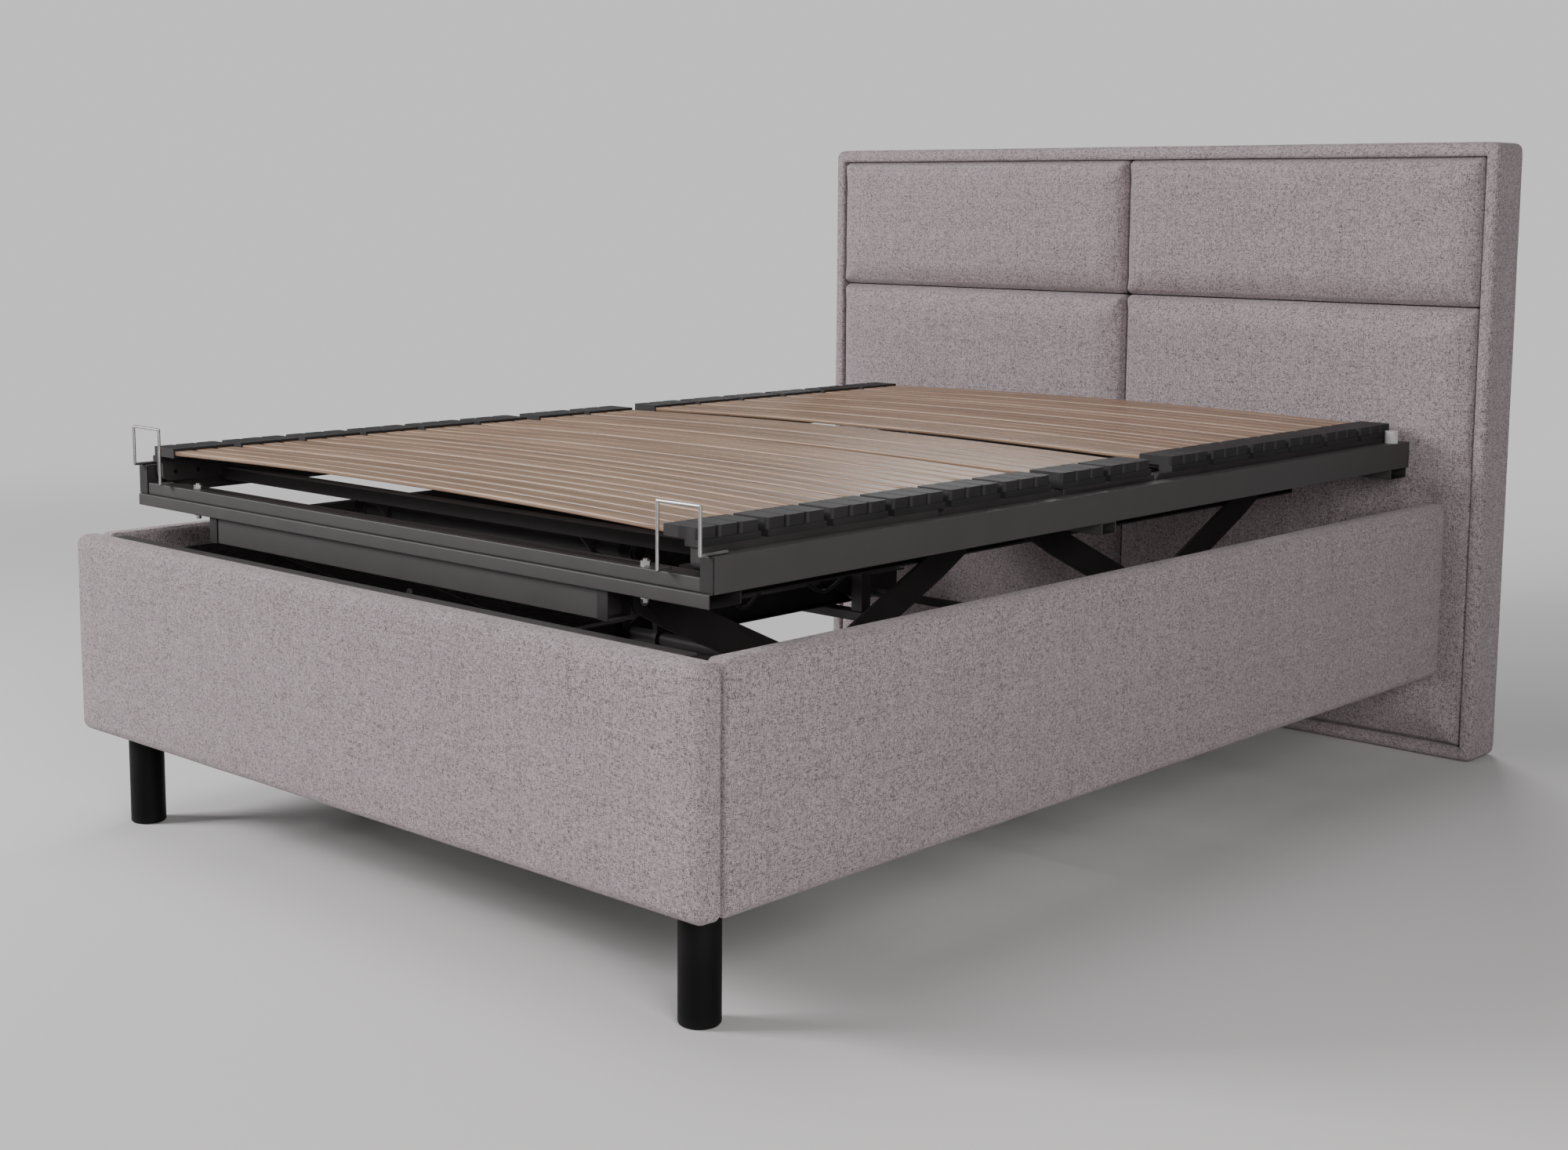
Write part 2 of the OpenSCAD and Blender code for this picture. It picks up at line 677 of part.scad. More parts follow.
// An upper beam between the side rails and a lower beam under them, bored for the bolts
module beam_pair(upper_y, lower_y, bolt_y) difference() {
    union() {
        steel_tube([-rail_x, upper_y, frame_z], [rail_x, upper_y + upper_beam_d, frame_z + beam_h], 0);
        steel_tube([-lower_beam_x, lower_y, lower_beam_z - eps],
                   [lower_beam_x, lower_y + lower_beam_d, frame_z - eps], 0);
    }
    for (x = [-bolt_x, bolt_x])
        bar_along_z(x, bolt_y, lower_beam_z - 1, frame_z + beam_h + 1, bolt_d + 2 * run_fit);
}

foot_bolt_y = frame_y0 + upper_beam_d / 2;
head_bolt_y = frame_y1 - upper_beam_d / 2;

module foot_beams() steel_colour() in_bed() beam_pair(frame_y0, lower_beam_y0, foot_bolt_y);
module head_beams() steel_colour() in_bed() beam_pair(frame_y1 - upper_beam_d, lower_beam_y1, head_bolt_y);

// Plastic caps on the ends of the side rails and the subframe's rails
module frame_end_caps() black_colour() in_bed() both_sides() {
    for (y = [frame_y0 - cap_t, frame_y1]) block([rail_x, y, frame_z], [frame_x, y + cap_t, rail_top]);
    for (y = [sub_y0 - cap_t, sub_y1]) block([sub_x - sub_w, y, sub_z], [sub_x, y + cap_t, lower_beam_z - 1]);
}

// Bolts through both beams, with a hexagon nut above and below
module frame_bolts() color("gainsboro") in_bed()
    for (x = [-bolt_x, bolt_x], y = [foot_bolt_y, head_bolt_y]) {
        bar_along_z(x, y, lower_beam_z - 12, frame_z + beam_h + 9, bolt_d);
        for (z = [lower_beam_z - 6.5, frame_z + beam_h]) difference() {
            translate([x, y, z]) cylinder(h = 6.3, d = 15, $fn = 6);
            bar_along_z(x, y, z - 1, z + 8, bolt_d + 2 * run_fit);
        }
    }

// Channels that open outwards, each with bored blocks for the arms' upper pivots
module subframe_rails() steel_colour() in_bed() both_sides() {
    x0 = sub_x - sub_w;
    z1 = lower_beam_z - eps;
    difference() {
        block([x0, sub_y0, sub_z], [sub_x, sub_y1, z1]);
        block([x0 + channel_t, sub_y0 - 1, sub_z + channel_t], [sub_x + 1, sub_y1 + 1, z1 - channel_t]);
    }
    for (pivot = [[foot_pivot_y, run_fit], [head_pivot_y, open_fit]]) difference() {
        block([x0 + channel_t, pivot[0] - pivot_block_d / 2, sub_z + channel_t],
              [sub_x, pivot[0] + pivot_block_d / 2, z1 - channel_t]);
        bar_along_x(x0, sub_x + 1, pivot[0], top_pivot_z, pivot_d + 2 * pivot[1]);
    }
}

// Cross beams of the subframe, and the outriggers that hold the side rails at the middle
module subframe_beams() steel_colour() in_bed() {
    x = sub_x - sub_w;
    for (y = [sub_y0, mid_beam_y, sub_y1 - sub_beam_d])
        steel_tube([-x, y, sub_z], [x, y + sub_beam_d, lower_beam_z - eps], 0);
    both_sides() steel_tube([x, mid_beam_y, lower_beam_z], [frame_x, mid_beam_y + base_tube_d, frame_z], 0);
}

module head_posts() color("darkgray") in_bed() both_sides()
    bar_along_z(frame_x - rail_w / 2, post_y, rail_top, rail_top + post_h, rail_w);

// Bent wire bows that keep the mattress from sliding off at the foot
module mattress_retainers() color("silver") in_bed() both_sides() {
    x = [frame_x - 10, frame_x - 90];
    y = frame_y0 - 16;
    z = [rail_top + wire_d / 2, rail_top + 68];
    bow = [[x[0], y + 50, z[0]], [x[0], y, z[0]], [x[0], y, z[1]], [x[1], y, z[1]], [x[1], y, z[0] - 28],
           [x[1], y + 24, z[0] - 28]];
    union() {
        for (p = bow) translate(p) sphere(d = wire_d);
        bar_along_y(x[0], y, y + 50, z[0], wire_d);
        bar_along_z(x[0], y, z[0], z[1], wire_d);
        bar_along_x(x[1], x[0], y, z[1], wire_d);
        bar_along_z(x[1], y, z[0] - 28, z[1], wire_d);
        bar_along_y(x[1], y, y + 24, z[0] - 28, wire_d);
    }
}

// --- Section drive, control box and lead ---------------------------------------------------

module drive_housing() black_colour() in_bed() difference() {
    w = drive_wall;
    along_x(-drive_x, 2 * drive_x)
        rounded_rect([drive_y0, drive_z], [drive_y1, drive_top], [10, 10, 10, 10]);
    block([-drive_x + w, drive_y0 + w, drive_z + w], [drive_x - w, drive_core[0], drive_top - w]);
    block([-drive_x + w, drive_core[1], drive_z + w], [drive_x - w, drive_y1 - w, drive_top - w]);
    for (y = [thigh_y, back_y])
        bar_along_x(-drive_x - 1, drive_x + 1, y, hinge_z, torsion_d + 2 * run_fit);
}

// A sliding block on the housing's floor, between its low and high y
module slider(y0, y1) color("gray") in_bed()
    block([-slider_w / 2, y0, drive_z + drive_wall + slide_fit], [slider_w / 2, y1, slider_top]);

module back_slider() {
    nose = back_y - horn_len * sin(back_horn_angle) - horn_r - slider_gap;
    slider(nose - 60, nose);
}

module thigh_slider() {
    nose = thigh_y + horn_len * sin(thigh_horn_angle) + horn_r + slider_gap;
    slider(nose, nose + 60);
}

// The control box, the calf lead's socket on the subframe rail, and the clips that hold the lead
module control_box() black_colour() in_bed() {
    y = mid_beam_y + sub_beam_d;
    x1 = control_x + control[0];
    difference() {
        along_x(control_x, control[0])
            rounded_rect([y, sub_z + 2], [y + control[1], sub_z + 2 + control[2]], [0, 5, 5, 0]);
        bar_along_x(x1 - gland_depth, x1 + 1, lead_route[0][1], lead_route[0][2], gland_d);
    }
    rail = sub_x - sub_w;
    end = lead_route[len(lead_route) - 1];
    difference() {
        translate([rail - socket[0], end[1] + gland_depth - socket[1], end[2] - socket[2] / 2]) cube(socket);
        bar_along_y(end[0], end[1], end[1] + gland_depth + 1, end[2], gland_d);
    }
    for (c = clip_y) difference() {
        union() {
            bar_along_y(end[0], c - clip_len / 2, c + clip_len / 2, end[2], clip_d);
            block([end[0], c - clip_len / 2, end[2] - clip_d / 2],
                  [rail, c + clip_len / 2, end[2] + clip_d / 2]);
        }
        bar_along_y(end[0], c - clip_len, c + clip_len, end[2], lead_d + 2);
    }
}

// Frame of unit vectors across a route at point i
function ahead(route, i) = let (n = len(route), a = route[max(i - 1, 0)], b = route[min(i + 1, n - 1)])
    (b - a) / norm(b - a);
function across(t) = let (s = cross(t, [0, 0, 1])) s / norm(s);

// A round tube that follows a route of points
module route_tube(route, d, sides) {
    n = len(route);
    ring = [for (i = [0 : n - 1]) let (t = ahead(route, i), u = across(t), v = cross(u, t))
        for (k = [0 : sides - 1]) route[i] + d / 2 * (cos(360 * k / sides) * u + sin(360 * k / sides) * v)];
    skin = [for (i = [0 : n - 2], k = [0 : sides - 1]) let (j = (k + 1) % sides)
        [i * sides + k, (i + 1) * sides + k, (i + 1) * sides + j, i * sides + j]];
    polyhedron(points = ring, faces = concat(skin, [[for (k = [0 : sides - 1]) k]],
        [[for (k = [sides - 1 : -1 : 0]) (n - 1) * sides + k]]), convexity = 8);
}

// Catmull-Rom points between the route's chosen points
function spline_at(p, i, t) =
    let (a = p[max(i - 1, 0)], b = p[i], c = p[i + 1], d = p[min(i + 2, len(p) - 1)])
    b + (c - a) * t / 2 + (2 * a - 5 * b + 4 * c - d) * pow(t, 2) / 2
    + (3 * b - a - 3 * c + d) * pow(t, 3) / 2;
function smooth_route(p, steps) = concat(
    [for (i = [0 : len(p) - 2], s = [0 : steps - 1]) spline_at(p, i, s / steps)],
    [p[len(p) - 1]]);

module frame_lead() black_colour() in_bed() route_tube(smooth_route(lead_route, 3), lead_d, 8);

// --- Sections ------------------------------------------------------------------------------

// Side bar in (y, z) from y0 to y1, with a round end on each hinge axis that it reaches
module section_bar(y0, y1, r0, r1) rounded_rect([y0, bar_z], [y1, bar_top], [r0, r1, r1, r0]);

// A flat tube across a section, between its side bars
module section_tube(y, z) steel_tube([-bar_x + weld, y, z],
    [bar_x - weld, y + section_tube_d, z + section_tube_h], 0);

// Torsion tube on a hinge axis, with the hinge pins and the horn that the slider pushes
module torsion_tube(y, horn_angle) {
    tube_along_x(-bar_x + weld, bar_x - weld, y, hinge_z, torsion_d, 3);
    both_sides() bar_along_x(bar_x + bar_w + weld, rail_x + tube_wall, y, hinge_z, hinge_pin_d);
    translate([-horn_w / 2, y, hinge_z]) rotate([90, 0, 90]) linear_extrude(horn_w) rotate(horn_angle)
        difference() {
            union() {
                circle(d = torsion_d + 8);
                translate([-horn_r, -horn_len]) square([2 * horn_r, horn_len]);
                translate([0, -horn_len]) circle(horn_r);
            }
            circle(d = torsion_d + 2 * run_fit);
        }
}

module seat_frame() steel_colour() in_bed() both_sides() {
    y = [thigh_y + seat_bar_gap, back_y - seat_bar_gap];
    along_x(bar_x, bar_w) section_bar(y[0], y[1], 0, 0);
    for (c = [y[0] + 40, y[1] - 40])
        block([bar_x + bar_w, c - 15, bar_z + 4], [rail_x, c + 15, rail_top - 2]);
}

module back_frame() steel_colour() in_bed() {
    both_sides() along_x(bar_x, bar_w) section_bar(back_y - bar_end_r, back_bar_y1, bar_end_r - eps, 8);
    for (y = [back_group_y + group_pitch / 2, back_bar_y1 - 60]) section_tube(y, bar_z);
    torsion_tube(back_y, -back_horn_angle);
}

module thigh_frame() steel_colour() in_bed() {
    both_sides() difference() {
        along_x(bar_x, bar_w)
            section_bar(knee_y - bar_end_r, thigh_y + bar_end_r, bar_end_r - eps, bar_end_r - eps);
        bar_along_x(bar_x - 1, bar_x + bar_w + 1, knee_y, hinge_z, knee_pin_d + 2 * run_fit);
    }
    section_tube(thigh_group_y + group_pitch / 2 - 15, bar_z);
    torsion_tube(thigh_y, thigh_horn_angle);
}

module calf_frame() steel_colour() in_bed() {
    tube = [calf_tube_y - 75, bar_z - 6];
    both_sides() {
        difference() {
            along_x(bar_x, bar_w) rounded_rect([bar_y0, bar_z], [calf_bar_end, bar_top], [14, 0, 0, 4]);
            for (y = [bar_y0 + 25, bar_y0 + 70]) bar_along_x(bar_x - 1, bar_x + bar_w + 1, y, bar_z + 15, 8);
        }
        along_x(bar_x - knee_lug_t, knee_lug_t - weld) difference() {
            rounded_rect([calf_bar_end - 30 + weld, bar_z], [knee_y + bar_end_r, bar_top],
                         [0, bar_end_r - eps, bar_end_r - eps, 0]);
            translate([knee_y, hinge_z]) circle(d = knee_pin_d + 2 * run_fit);
        }
        bar_along_x(bar_x - knee_lug_t, bar_x + bar_w, knee_y, hinge_z, knee_pin_d);
        along_x(250, 6) difference() {
            union() {
                translate([calf_tube_y, calf_tube_z]) circle(d = torsion_d + 10);
                polygon([[tube[0] + section_tube_d + weld, tube[1]],
                         [tube[0] + section_tube_d + weld, tube[1] + section_tube_h],
                         [calf_tube_y + 16, calf_tube_z + 10], [calf_tube_y - 15, calf_tube_z - 10]]);
            }
            translate([calf_tube_y, calf_tube_z]) circle(d = torsion_d + 2 * run_fit);
        }
    }
    section_tube(tube[0], tube[1]);
    section_tube(calf_bar_end - 60, bar_z);
    tube_along_x(-calf_tube_x, calf_tube_x, calf_tube_y, calf_tube_z, torsion_d, 2);
}

// Height of the crown at distance x from the middle
function crown_at(x) = slat_crown * (1 - pow(x / slat_x, 2));

// One slat, bowed upwards, centred on y
module slat(y) along_y(y - slat_w / 2, slat_w) {
    x = [for (i = [0 : slat_steps]) slat_x * (2 * i / slat_steps - 1)];
    polygon(concat(
        [for (i = [0 : slat_steps]) [x[i], slat_z + crown_at(x[i])]],
        [for (i = [slat_steps : -1 : 0]) [x[i], slat_z + slat_t + crown_at(x[i])]]));
}

module slats(first, groups) color([0.72, 0.56, 0.42]) in_bed()
    for (g = [0 : groups - 1], s = [-1 : 1]) slat(first + g * group_pitch + s * slat_pitch);

// Rubber holders on both side bars; each takes the ends of three slats
module slat_holders(first, groups) black_colour() in_bed() both_sides()
    for (g = [0 : groups - 1]) slat_holder(first + g * group_pitch);

module slat_holder(y) difference() {
    z = bar_top + carrier_h;
    union() {
        block([holder_x1 - carrier_w, y - holder_len / 2, bar_top], [holder_x1, y + holder_len / 2, z + eps]);
        for (s = [-1 : 1]) translate([0, 0, z]) linear_extrude(cap_h)
            rounded_rect([holder_x0, y + s * slat_pitch - cap_w / 2],
                         [holder_x1 - 2, y + s * slat_pitch + cap_w / 2], [0, 6, 6, 0]);
    }
    for (s = [-1 : 1]) block([holder_x0 - 1, y + s * slat_pitch - slat_w / 2 - slide_fit, slat_z - slide_fit],
        [slat_x + slide_fit, y + s * slat_pitch + slat_w / 2 + slide_fit, slat_z + slat_t + 1.2]);
}

// --- Nodes ---------------------------------------------------------------------------------

foot_board();
side_board(-1);  // side_board_left
side_board(1);  // side_board_right
foot_padding();
side_padding(-1);  // side_padding_left
side_padding(1);  // side_padding_right
headboard_board();
headboard_battens();
headboard_back();
headboard_border();
headboard_pad(-1, 1);  // headboard_pad_upper_left
headboard_pad(1, 1);  // headboard_pad_upper_right
headboard_pad(-1, 0);  // headboard_pad_lower_left
headboard_pad(1, 0);  // headboard_pad_lower_right
legs();
leg_plates();
corner_blocks();
panel_brackets();
support_angles();
base_cross_tubes();
base_rails();
lift_motor(foot_pivot_y, 1);  // lift_motor_foot
lift_motor(head_pivot_y, -1);  // lift_motor_head
outer_arms(foot_pivot_y, 1);  // foot_outer_arms
outer_rollers(foot_pivot_y);  // foot_outer_rollers
inner_arms(foot_pivot_y);  // foot_inner_arms
inner_rollers(foot_pivot_y);  // foot_inner_rollers
outer_arms(head_pivot_y, -1);  // head_outer_arms
outer_rollers(head_pivot_y);  // head_outer_rollers
inner_arms(head_pivot_y);  // head_inner_arms
inner_rollers(head_pivot_y);  // head_inner_rollers
spindle(foot_pivot_y, 1);  // foot_spindle
spindle(head_pivot_y, -1);  // head_spindle
frame_rail(-1);  // frame_rail_left
frame_rail(1);  // frame_rail_right
foot_beams();
head_beams();
frame_end_caps();
frame_bolts();
subframe_rails();
subframe_beams();
head_posts();
mattress_retainers();
drive_housing();
control_box();
frame_lead();
seat_frame();
slats(seat_group_y, seat_groups);  // seat_slats
slat_holders(seat_group_y, seat_groups);  // seat_slat_holders
back_frame();
slats(back_group_y, back_groups);  // back_slats
slat_holders(back_group_y, back_groups);  // back_slat_holders
thigh_frame();
slats(thigh_group_y, thigh_groups);  // thigh_slats
slat_holders(thigh_group_y, thigh_groups);  // thigh_slat_holders
calf_frame();
slats(first_group_y, calf_groups);  // calf_slats
slat_holders(first_group_y, calf_groups);  // calf_slat_holders
back_slider();
thigh_slider();
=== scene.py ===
import math

import bmesh
import bpy
import numpy as np
from mathutils import Matrix, Vector, noise


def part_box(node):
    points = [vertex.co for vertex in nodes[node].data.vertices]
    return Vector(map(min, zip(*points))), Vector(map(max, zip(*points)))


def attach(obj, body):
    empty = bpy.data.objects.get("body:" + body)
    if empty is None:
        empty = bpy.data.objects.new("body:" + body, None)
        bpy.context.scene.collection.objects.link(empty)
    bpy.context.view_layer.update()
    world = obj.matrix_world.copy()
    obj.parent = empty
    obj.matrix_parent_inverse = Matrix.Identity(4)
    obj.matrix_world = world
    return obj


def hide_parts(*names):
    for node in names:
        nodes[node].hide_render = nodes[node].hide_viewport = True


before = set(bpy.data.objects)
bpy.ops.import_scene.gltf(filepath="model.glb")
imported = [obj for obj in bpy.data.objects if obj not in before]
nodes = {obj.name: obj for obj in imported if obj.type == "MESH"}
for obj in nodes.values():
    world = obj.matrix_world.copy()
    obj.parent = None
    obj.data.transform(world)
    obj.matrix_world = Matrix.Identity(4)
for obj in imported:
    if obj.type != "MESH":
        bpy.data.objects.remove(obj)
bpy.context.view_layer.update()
scene = bpy.context.scene

# Lengths are in metres and angles in radians, unless a comment says otherwise.


def add_object(name, data):
    made = bpy.data.objects.new(name, data)
    scene.collection.objects.link(made)
    return made


# --- Camera and light ----------------------------------------------------------------------

CAMERA_PLACE = (2.6408, -2.977, 1.0944)
CAMERA_YAW, CAMERA_PITCH, CAMERA_ROLL = 0.7437, -0.1297, 0.0063
CAMERA_LENS = 49.41
CAMERA_SHIFT = -0.06

# Each light's name, place, the point it faces, width, power and colour
LIGHTS = [
    ("key", (-3.5, -4.3, 2.9), (0, -0.5, 0.55), 1.8, 370, (1.0, 0.985, 0.985)),
    ("fill", (3.4, -2.3, 1.7), (0.75, -0.1, 0.35), 1.6, 92, (1.0, 0.97, 0.96)),
    ("top", (-1.0, -0.8, 4.2), (0, 0, 0), 2.6, 60, (1, 1, 1)),
    ("back", (-2.2, 4.6, 2.6), (0, 1.1, 0.6), 2.2, 120, (1, 1, 1)),
]

camera_data = bpy.data.cameras.new("camera")
camera_data.sensor_width = 36
camera_data.lens = CAMERA_LENS
camera_data.shift_y = CAMERA_SHIFT
camera_data.clip_end = 200
camera = add_object("camera", camera_data)
camera.matrix_world = (
    Matrix.Translation(CAMERA_PLACE) @ Matrix.Rotation(CAMERA_YAW, 4, "Z")
    @ Matrix.Rotation(math.pi / 2 + CAMERA_PITCH, 4, "X") @ Matrix.Rotation(CAMERA_ROLL, 4, "Z"))
scene.camera = camera


def area_light(name, place, target, width, power, colour):
    data = bpy.data.lights.new(name, "AREA")
    data.shape = "RECTANGLE"
    data.size = data.size_y = width
    data.energy = power
    data.color = colour
    lamp = add_object(name, data)
    lamp.location = place
    lamp.rotation_mode = "QUATERNION"
    lamp.rotation_quaternion = (Vector(target) - Vector(place)).to_track_quat("-Z", "Y")


for light in LIGHTS:
    area_light(*light)

world = bpy.data.worlds.new("studio")
scene.world = world
world.use_nodes = True
background = world.node_tree.nodes["Background"].inputs
background["Color"].default_value = (0.93, 0.93, 0.94, 1)
background["Strength"].default_value = 0.16


# --- Node helpers --------------------------------------------------------------------------

class Graph:
    """A material's node tree with short ways to add and join nodes."""

    def __init__(self, name):
        self.material = bpy.data.materials.new(name)
        self.material.use_nodes = True
        self.tree = self.material.node_tree
        self.shader = self.tree.nodes["Principled BSDF"]

    def node(self, kind, **values):
        made = self.tree.nodes.new(kind)
        for key, value in values.items():
            setattr(made, key, value)
        return made

    def link(self, a, b):
        self.tree.links.new(a, b)

    def put(self, socket, value):
        if isinstance(value, bpy.types.NodeSocket):
            self.link(value, socket)
        else:
            socket.default_value = value

    def maths(self, operation, a, b=None, c=None):
        made = self.node("ShaderNodeMath", operation=operation)
        for socket, value in zip(made.inputs, (a, b, c)):
            if value is not None:
                self.put(socket, value)
        return made.outputs[0]

    def mix(self, share, a, b, blend="MIX"):
        made = self.node("ShaderNodeMix", data_type="RGBA", blend_type=blend)
        self.put(made.inputs[0], share)
        self.put(made.inputs[6], a)
        self.put(made.inputs[7], b)
        return made.outputs[2]

    def choose(self, share, a, b):
        """Mixes two numbers: a where share is 0, b where it is 1."""
        made = self.node("ShaderNodeMix", data_type="FLOAT")
        self.link(share, made.inputs[0])
        self.link(a, made.inputs[2])
        self.link(b, made.inputs[3])
        return made.outputs[0]

    def ramp(self, value, stops):
        made = self.node("ShaderNodeValToRGB")
        ramp = made.color_ramp
        while len(ramp.elements) < len(stops):
            ramp.elements.new(0.5)
        for element, (place, colour) in zip(ramp.elements, stops):
            element.position = place
            element.color = (*colour, 1) if len(colour) == 3 else colour
        self.link(value, made.inputs[0])
        return made.outputs[0]

    def mask(self, value, low, high, top=1.0):
        """Rises from 0 to top as the value goes from low to high."""
        return self.ramp(value, [(low, (0, 0, 0)), (high, (top, top, top))])

    def combine(self, x, y, z=0.0):
        made = self.node("ShaderNodeCombineXYZ")
        for socket, value in zip(made.inputs, (x, y, z)):
            self.put(socket, value)
        return made.outputs[0]

    def separate(self, vector):
        made = self.node("ShaderNodeSeparateXYZ")
        self.link(vector, made.inputs[0])
        return made.outputs

    def coordinates(self, kind="Object"):
        return self.node("ShaderNodeTexCoord").outputs[kind]

    def scaled(self, vector, scale):
        made = self.node("ShaderNodeMapping")
        self.link(vector, made.inputs[0])
        made.inputs["Scale"].default_value = scale
        return made.outputs[0]

    def noise(self, vector, scale, detail=3.0, rough=0.5):
        made = self.node("ShaderNodeTexNoise")
        self.link(vector, made.inputs["Vector"])
        made.inputs["Scale"].default_value = scale
        made.inputs["Detail"].default_value = detail
        made.inputs["Roughness"].default_value = rough
        return made.outputs[0]

    def bump(self, height, distance, strength=1.0, normal=None):
        made = self.node("ShaderNodeBump")
        made.inputs["Strength"].default_value = strength
        made.inputs["Distance"].default_value = distance
        self.link(height, made.inputs["Height"])
        if normal is not None:
            self.link(normal, made.inputs["Normal"])
        return made.outputs[0]

    def finish(self, colour, roughness, normal=None, **constants):
        self.put(self.shader.inputs["Base Color"], colour)
        self.put(self.shader.inputs["Roughness"], roughness)
        if normal is not None:
            self.link(normal, self.shader.inputs["Normal"])
        for key, value in constants.items():
            self.shader.inputs[key.replace("_", " ")].default_value = value
        return self.material

    def glow(self, colour):
        made = self.node("ShaderNodeEmission")
        made.inputs["Color"].default_value = (*colour, 1)
        return made.outputs[0]

    def surface(self, shader):
        """Shows this shader, which lights nothing by itself."""
        self.link(shader, self.tree.nodes["Material Output"].inputs["Surface"])
        self.material.cycles.emission_sampling = "NONE"
        return self.material


def shade(colour, factor, lift=0.0):
    """The colour made darker or lighter, opaque."""
    return tuple(min(1.0, c * factor + lift) for c in colour) + (1,)


def between(a, b, share):
    return tuple(p * (1 - share) + q * share for p, q in zip(a, b))


# --- Materials -----------------------------------------------------------------------------

def melange_weave(name, light, dark, pitch=0.0014):
    """A plain weave of flecked yarns, with painted shade in the hollows between them. The piece's UV
    map is in metres along the cloth.
    """
    g = Graph(name)

    def segment(yarn, run, seed):
        """A tone for each few millimetres of one yarn, and a fainter one for the whole yarn."""
        whole = g.node("ShaderNodeTexWhiteNoise", noise_dimensions="2D")
        g.link(g.combine(yarn, seed), whole.inputs["Vector"])
        piece = g.maths("FLOOR", g.maths("MULTIPLY_ADD", run, 0.36,
                                         g.maths("MULTIPLY", whole.outputs[0], 17.0)))
        part = g.node("ShaderNodeTexWhiteNoise", noise_dimensions="3D")
        g.link(g.combine(yarn, piece, seed), part.inputs["Vector"])
        return g.maths("ADD", g.maths("MULTIPLY", part.outputs[0], 0.84),
                       g.maths("MULTIPLY", whole.outputs[0], 0.16))

    x, y, _ = g.separate(g.coordinates("UV"))
    wobble = g.noise(g.coordinates("UV"), 160.0, 2.0)
    u = g.maths("MULTIPLY_ADD", wobble, 0.5, g.maths("DIVIDE", x, pitch))
    v = g.maths("MULTIPLY_ADD", wobble, -0.5, g.maths("DIVIDE", y, pitch))
    iu, iv = g.maths("FLOOR", u), g.maths("FLOOR", v)
    fu, fv = g.maths("SUBTRACT", u, iu), g.maths("SUBTRACT", v, iv)
    warp_up = g.maths("MODULO", g.maths("ABSOLUTE", g.maths("ADD", iu, iv)), 2.0)
    across_u = g.maths("SINE", g.maths("MULTIPLY", fu, math.pi))
    across_v = g.maths("SINE", g.maths("MULTIPLY", fv, math.pi))
    warp_height = g.maths("MULTIPLY", across_u, g.maths("MULTIPLY_ADD", across_v, 0.5, 0.5))
    weft_height = g.maths("MULTIPLY", across_v, g.maths("MULTIPLY_ADD", across_u, 0.5, 0.5))
    height = g.choose(warp_up, weft_height, warp_height)

    yarn_tone = g.choose(warp_up, segment(iv, u, 71.0), segment(iu, v, 13.0))
    fleck = g.noise(g.combine(x, y), 700.0, 2.0, 0.7)
    tone = g.maths("ADD", g.maths("MULTIPLY", yarn_tone, 0.8), g.maths("MULTIPLY", fleck, 0.2))
    colour = g.ramp(tone, [(0.16, dark), (0.34, between(light, dark, 0.45)), (0.6, light),
                           (0.86, shade(light, 1.35))])
    patch = g.noise(g.combine(x, y, 4.0), 9.0, 3.0, 0.5)
    colour = g.mix(g.maths("MULTIPLY", patch, 0.16), colour, (*dark, 1))
    # Painted shade: the colour darkens towards a deeper tone of the dark yarn where the weave is low,
    # in the hollows between the yarns
    colour = g.mix(g.maths("MULTIPLY_ADD", height, -0.42, 0.42), colour, shade(dark, 0.32))

    fibre = g.noise(g.combine(x, y, 1.0), 2600.0, 2.0, 0.6)
    soft = g.noise(g.combine(x, y, 7.0), 22.0, 2.0, 0.5)
    relief = g.bump(g.maths("ADD", height, g.maths("MULTIPLY", fibre, 0.35)), 0.00032, 0.85,
                    g.bump(soft, 0.0022, 0.35))
    g.shader.inputs["Sheen Tint"].default_value = (0.9, 0.86, 0.88, 1)
    return g.finish(colour, 0.92, relief, Sheen_Weight=0.22, Sheen_Roughness=0.45,
                    Specular_IOR_Level=0.22)


def powder_coat(name, colour, roughness, grain=900.0, depth=0.00006, shine=0.32):
    """Sprayed coat with a fine orange-peel texture, a little dust and lighter rubbed edges."""
    g = Graph(name)
    p = g.coordinates()
    peel = g.noise(p, grain, 2.0, 0.55)
    dust = g.noise(p, 14.0, 5.0, 0.6)
    worn = g.mask(g.node("ShaderNodeNewGeometry").outputs["Pointiness"], 0.505, 0.56)
    tone = g.mix(g.mask(dust, 0.42, 0.75, 0.5), (*colour, 1), shade(colour, 1.5, 0.38 * colour[0]))
    tone = g.mix(g.maths("MULTIPLY", worn, 0.35), tone, shade(colour, 2.4, 0.03))
    rough = g.maths("MULTIPLY_ADD", dust, 0.16, roughness - 0.08)
    return g.finish(tone, rough, g.bump(peel, depth, 0.6), Specular_IOR_Level=shine)


def moulded(name, colour, roughness, grain=1500.0, depth=0.00003):
    """Moulded plastic or rubber with a spark-eroded surface and faint flow marks."""
    g = Graph(name)
    p = g.coordinates()
    fine = g.noise(p, grain, 2.0, 0.6)
    flow = g.noise(g.scaled(p, (1.0, 0.3, 1.0)), 30.0, 3.0, 0.5)
    tone = g.mix(g.mask(flow, 0.35, 0.7), (*colour, 1), shade(colour, 1.35, 0.004))
    rough = g.maths("MULTIPLY_ADD", flow, 0.14, roughness - 0.07)
    return g.finish(tone, rough, g.bump(fine, depth, 0.7), Specular_IOR_Level=0.4)


